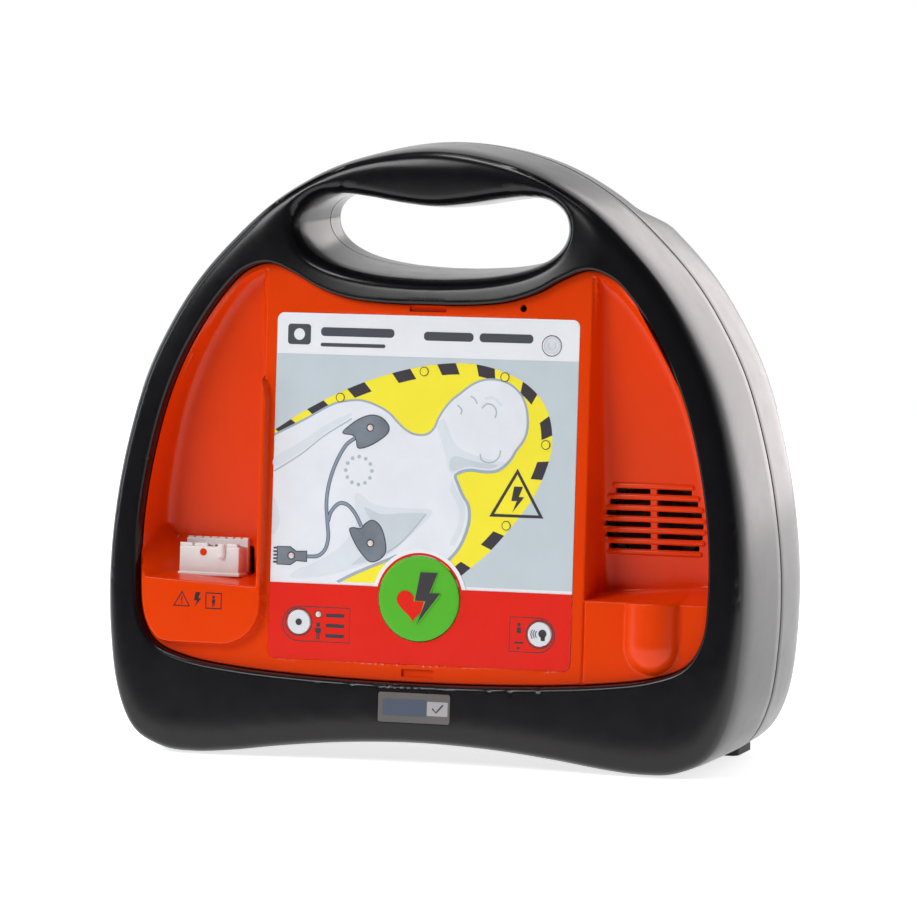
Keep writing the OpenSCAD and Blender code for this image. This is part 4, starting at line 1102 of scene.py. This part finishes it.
def keys():
    """The four buttons and their marks."""
    green = FINISH["button_green"]
    turned("shock_cap", SHOCK_AT, cap_rings(SHOCK_R, -0.9, 0.25, 3), green, "shock", 96,
           ["shock_button"])
    for name, at, r, front, body, node in (
            ("child_cap", CHILD_AT, SMALL_R, -0.6, "child_key", "child_button"),
            ("info_cap", INFO_AT, SMALL_R, -0.6, "info_key", "info_button"),
            ("power_cap", POWER_AT, POWER_R, -0.3, "power", "power_key")):
        turned(name, at, cap_rings(r, front, 0.12, min(r * 0.5, 3)), FINISH["button_grey"],
               body, 64, [node])
    plate("shock_heart", [[heart((-2.4, 65.9), 14.2)]], INK["red"], -0.97, -0.3, "shock")
    flash = bolt((3.4, 68.4), 21)
    plate("shock_bolt_edge", [[inset(flash, -0.55)]], green, -0.99, -0.3, "shock")
    plate("shock_bolt", [[flash]], INK["dark"], -1.01, -0.3, "shock")
    plate("child_dot", [[circle(CHILD_AT, 1.35, 32)]], INK["dark"], -0.65, -0.2, "child_key")
    x, v = INFO_AT
    waves = []
    for k in (0, 0.9, 1.8):
        end, rise = x - 1.2 - k, 1.3 + 0.3 * k
        waves.append([stroke([(end, v - rise), (x - 1.8 - k, v), (end, v + rise)], 0.3)])
    person = [[circle((x + 1.3, v + 0.3), 1.7, 32)], [rect(x + 0.6, x + 2.4, v - 2.6, v - 0.6, 0.4)]]
    plate("info_mark", person + waves, INK["dark"], -0.65, -0.2, "info_key")
    header_print()
    plate("power_mark", power_symbol(), INK["mark"], -0.35, -0.1, "power")


def block_print():
    """Plain warning signs on the block under the connector."""
    front = -U_BLOCK["proud"] - 0.04
    triangle = np.array([(-102.7, 67.2), (-98.9, 60.8), (-106.5, 60.8)])
    centre = triangle.mean(0)
    figure = [[circle((-88.6, 65), 0.6, 16)], [rect(-89.3, -87.9, 62.6, 64.2, 0.4)],
              [rect(-89.1, -88.7, 61.2, 62.8)], [rect(-88.5, -88.1, 61.2, 62.8)]]
    square = rect(-92, -85.2, 60.4, 66.7)
    marks = [[triangle, centre + (triangle - centre) * 0.8], [rect(-102.95, -102.45, 63, 65)],
             [circle((-102.7, 62.2), 0.35, 12)], [bolt((-95.8, 63.8), 6.2)], frame_line(square, 0.6)] + figure
    plate("print_block_signs", marks, INK["sign"], front, front + 0.1)


def socket():
    """The electrode socket: a stepped housing with a flange, a keyway, ribs, and dark slivers of painted shade
    where its rows of chambers open.
    """
    x0, v0, w = -96.0, 73.3, 26.5
    left, right = x0 - w / 2, x0 + w / 2
    blocks = [((left, 8.5, v0), (right, 18.2, v0 + 12.2), 0.5),
              ((left - 0.5, 8.1, v0 - 0.1), (right + 0.5, 18.2, v0 + 1.5), 0.35),
              ((left - 0.5, 17.4, v0 + 1.6), (right + 0.4, 20.2, v0 + 15.4), 0.4)]
    # Raised lips round the chambers on the front wall and teeth along the rear wall.
    for k in (0, 1, 3):
        a = left + 0.2 + k * 6.6
        blocks.append(((a, 8.5, v0 + 12), (a + 5.6, 10.3, v0 + 13.6), 0.25))
    for k in range(8):
        a = left + 0.1 + k * 3.45
        blocks.append(((a, 17.6, v0 + 15.2), (a + 2.7, 20.1, v0 + 16), 0.2))
    for k in range(5):
        a = left + 4.6 + k * 4.4
        blocks.append(((a, 12.2, v0 + 12), (a + 0.9, 17.6, v0 + 13), 0.15))
    skin = Skin()
    for low, high, r in blocks:
        rounded_block(skin, low, high, r)
    skin.make("socket_housing", FINISH["socket_white"], sharp=50, replaces=["socket_block"])
    # The keying lug is a half-round rib on the front wall.
    skin = Skin()
    turn = np.radians(np.linspace(0, 180, 17))
    across, deep = x0 + 5.6 - 1.9 * np.cos(turn), 8.7 - 1.7 * np.sin(turn)
    skin.capped([on_face(across, deep, v0 + h) for h in (7.6, 13.2, 13.5)])
    skin.make("socket_lug", FINISH["socket_white"], sharp=50)
    # Thin dark plates on top of the front block: painted shade standing in for the shaded openings of the
    # chambers, which are not modelled as holes.
    skin = Skin()
    for k in range(6):
        a = left + 1.2 + k * 4.4
        rounded_block(skin, (a, 11, v0 + 12.1), (a + 2.6, 16.6, v0 + 12.4), 0.1)
    skin.make("socket_chamber_shade", INK["dark"], sharp=50)


def rounded_block(skin, low, high, r):
    """A box on the face with soft edges."""
    (x0, d0, v0), (x1, d1, v1) = low, high
    across = [(0, r), (r * 0.3, r * 0.3), (r, 0)]
    rings = [(d0 + a, b) for a, b in across] + [(d1 - a, b) for a, b in across[::-1]]
    loops = []
    for d, shrink in rings:
        p = round_rect((x0 + shrink, v0 + shrink), (x1 - shrink, v1 - shrink), max(r - shrink * 0.5, 0.05), 3)
        loops.append(at_depth(p, d))
    skin.capped(loops)


def display():
    """The display behind its window: dark field, light field and a plain tick."""
    x, v = LCD_AT
    front = 0.1 - CROWN
    plate("display_dark", [[rect(x - 13.6, x + 5.4, v - 3.4, v + 3.5, 0.3)]], INK["slate"],
          front - 0.03, front + 0.2)
    plate("display_light", [[rect(x + 5.7, x + 14.6, v - 2.9, v + 2.9, 0.3)]], INK["pale"],
          front - 0.03, front + 0.2)
    tick = stroke([(x + 8, v + 0.2), (x + 9.6, v - 1.5), (x + 12.6, v + 1.8)], 0.7, 0)
    plate("display_tick", [[tick]], INK["dark"], front - 0.05, front + 0.2)


# ---- CAD nodes that are shown as they are ----

def finish_nodes():
    slots = {s["node"]: s["material_slot"] for s in frame["record"]["subparts"]}
    bevels = {"socket_block": 0.35, "lcd_window": 0.25, "front_feet": 0.8, "rear_feet": 0.8,
              "battery_case": 0.7, "shell_screws": 0.2, "chassis": 0.3, "charge_transformer": 0.4,
              "discharge_relay": 0.5}
    for node, obj in frame["nodes"].items():
        obj.data.materials.clear()
        obj.data.materials.append(FINISH[slots[node]])
        obj.data.shade_smooth()
        obj.data.set_sharp_from_angle(angle=math.radians(35))
        if node in bevels:
            clean = obj.modifiers.new("clean", "DECIMATE")
            clean.decimate_type = "DISSOLVE"
            clean.angle_limit = math.radians(1)
            soft = obj.modifiers.new("soft_edges", "BEVEL")
            soft.width = bevels[node] * MM
            soft.segments = 3
            soft.limit_method = "ANGLE"
            soft.angle_limit = math.radians(35)
            soft.harden_normals = True


# ---- Studio ----

def area_light(name, at, to, size, power, colour=(1, 1, 1)):
    """A rectangular light at a place, turned to another."""
    data = bpy.data.lights.new(name, "AREA")
    data.shape = "RECTANGLE"
    data.size, data.size_y = size
    data.energy = power
    data.color = colour
    light = bpy.data.objects.new(name, data)
    bpy.context.scene.collection.objects.link(light)
    light.location = at
    light.rotation_euler = (Vector(to) - Vector(at)).to_track_quat("-Z", "Y").to_euler()
    light.visible_camera = False


def add_camera():
    """The camera, which looks at the object from its front right, a little above it."""
    # Camera at the photograph's angle: azimuth and elevation round the target, in degrees.
    azimuth, elevation, reach = math.radians(19.38), math.radians(5.84), 2.4165
    data = bpy.data.cameras.new("camera")
    data.sensor_fit = "VERTICAL"
    data.sensor_height = 36
    data.lens = 229.1
    camera = bpy.data.objects.new("camera", data)
    bpy.context.scene.collection.objects.link(camera)
    target = Vector((0.00283, 0, 0.1208))
    back = Vector((math.sin(azimuth) * math.cos(elevation), -math.cos(azimuth) * math.cos(elevation),
                   math.sin(elevation)))
    camera.location = target + back * reach
    camera.rotation_euler = (-back).to_track_quat("-Z", "Y").to_euler()
    bpy.context.scene.camera = camera


def staged(name, points, faces, grain, colour, spread):
    """A piece of the studio and its shader."""
    mesh = bpy.data.meshes.new(name)
    mesh.from_pydata(points, [], faces)
    piece = bpy.data.objects.new(name, mesh)
    bpy.context.scene.collection.objects.link(piece)
    material, tree, shader, place = new_material(name)
    tree.links.new(mottled(tree, noise(tree, place, grain, 2), colour, spread), shader.inputs["Base Color"])
    mesh.materials.append(material)
    return piece, shader


def studio():
    """Light, a screen and a floor."""
    scene = bpy.context.scene
    scene.view_settings.view_transform = "Standard"
    add_camera()
    world = bpy.data.worlds.new("studio")
    scene.world = world
    world.use_nodes = True
    shade = world.node_tree.nodes["Background"]
    shade.inputs["Color"].default_value = (1, 1, 1, 1)
    shade.inputs["Strength"].default_value = 1.0

    area_light("key", (-1.15, -1.5, 1.45), (0, 0, 0.12), (1.15, 0.95), 29)
    area_light("left", (-1.7, -0.35, 0.7), (0, 0, 0.15), (0.4, 1.2), 6, (0.82, 0.91, 1.0))
    area_light("rear_right", (0.75, 1.9, 0.8), (0.1, 0, 0.12), (1.3, 1.7), 19, (1.0, 0.92, 0.93))
    area_light("top", (-0.1, -0.1, 1.9), (0, 0, 0.15), (1.0, 0.14), 8)

    # A dark screen round the front keeps the black plastic black; it isn't seen itself.
    turns = np.radians(np.linspace(-104, 104, 27))
    heights = np.radians(np.linspace(-8, 72, 11))
    far, ceiling, behind = 3, 2.5, 1.6
    points = [(far * math.sin(a) * math.cos(h), -far * math.cos(a) * math.cos(h), far * math.sin(h))
              for h in heights for a in turns]
    n = len(turns)
    cells = [(r * n + c, r * n + c + 1, (r + 1) * n + c + 1, (r + 1) * n + c)
             for r in range(len(heights) - 1) for c in range(n - 1)]
    cells.append(tuple(range(len(points), len(points) + 4)))
    points += [(-far, -far, ceiling), (far, -far, ceiling), (far, behind, ceiling), (-far, behind, ceiling)]
    screen, _ = staged("screen", points, cells, 300, (0.03, 0.03, 0.032), 0.1)
    screen.visible_camera = False

    corners = [(-1.3, -0.45, 0), (1.3, -0.45, 0), (1.3, 1.5, 0), (-1.3, 1.5, 0)]
    _, shader = staged("floor", corners, [(0, 1, 2, 3)], 900, (0.93, 0.93, 0.93), 0.01)
    shader.inputs["Roughness"].default_value = 0.7
    shader.inputs["Emission Color"].default_value = (1, 1, 1, 1)
    shader.inputs["Emission Strength"].default_value = 0.75


finish_nodes()
studio()
front_case()
rear_case()
control_panel()
grille()
foil_print()
red_print()
warning_triangle()
keys()
block_print()
socket()
display()
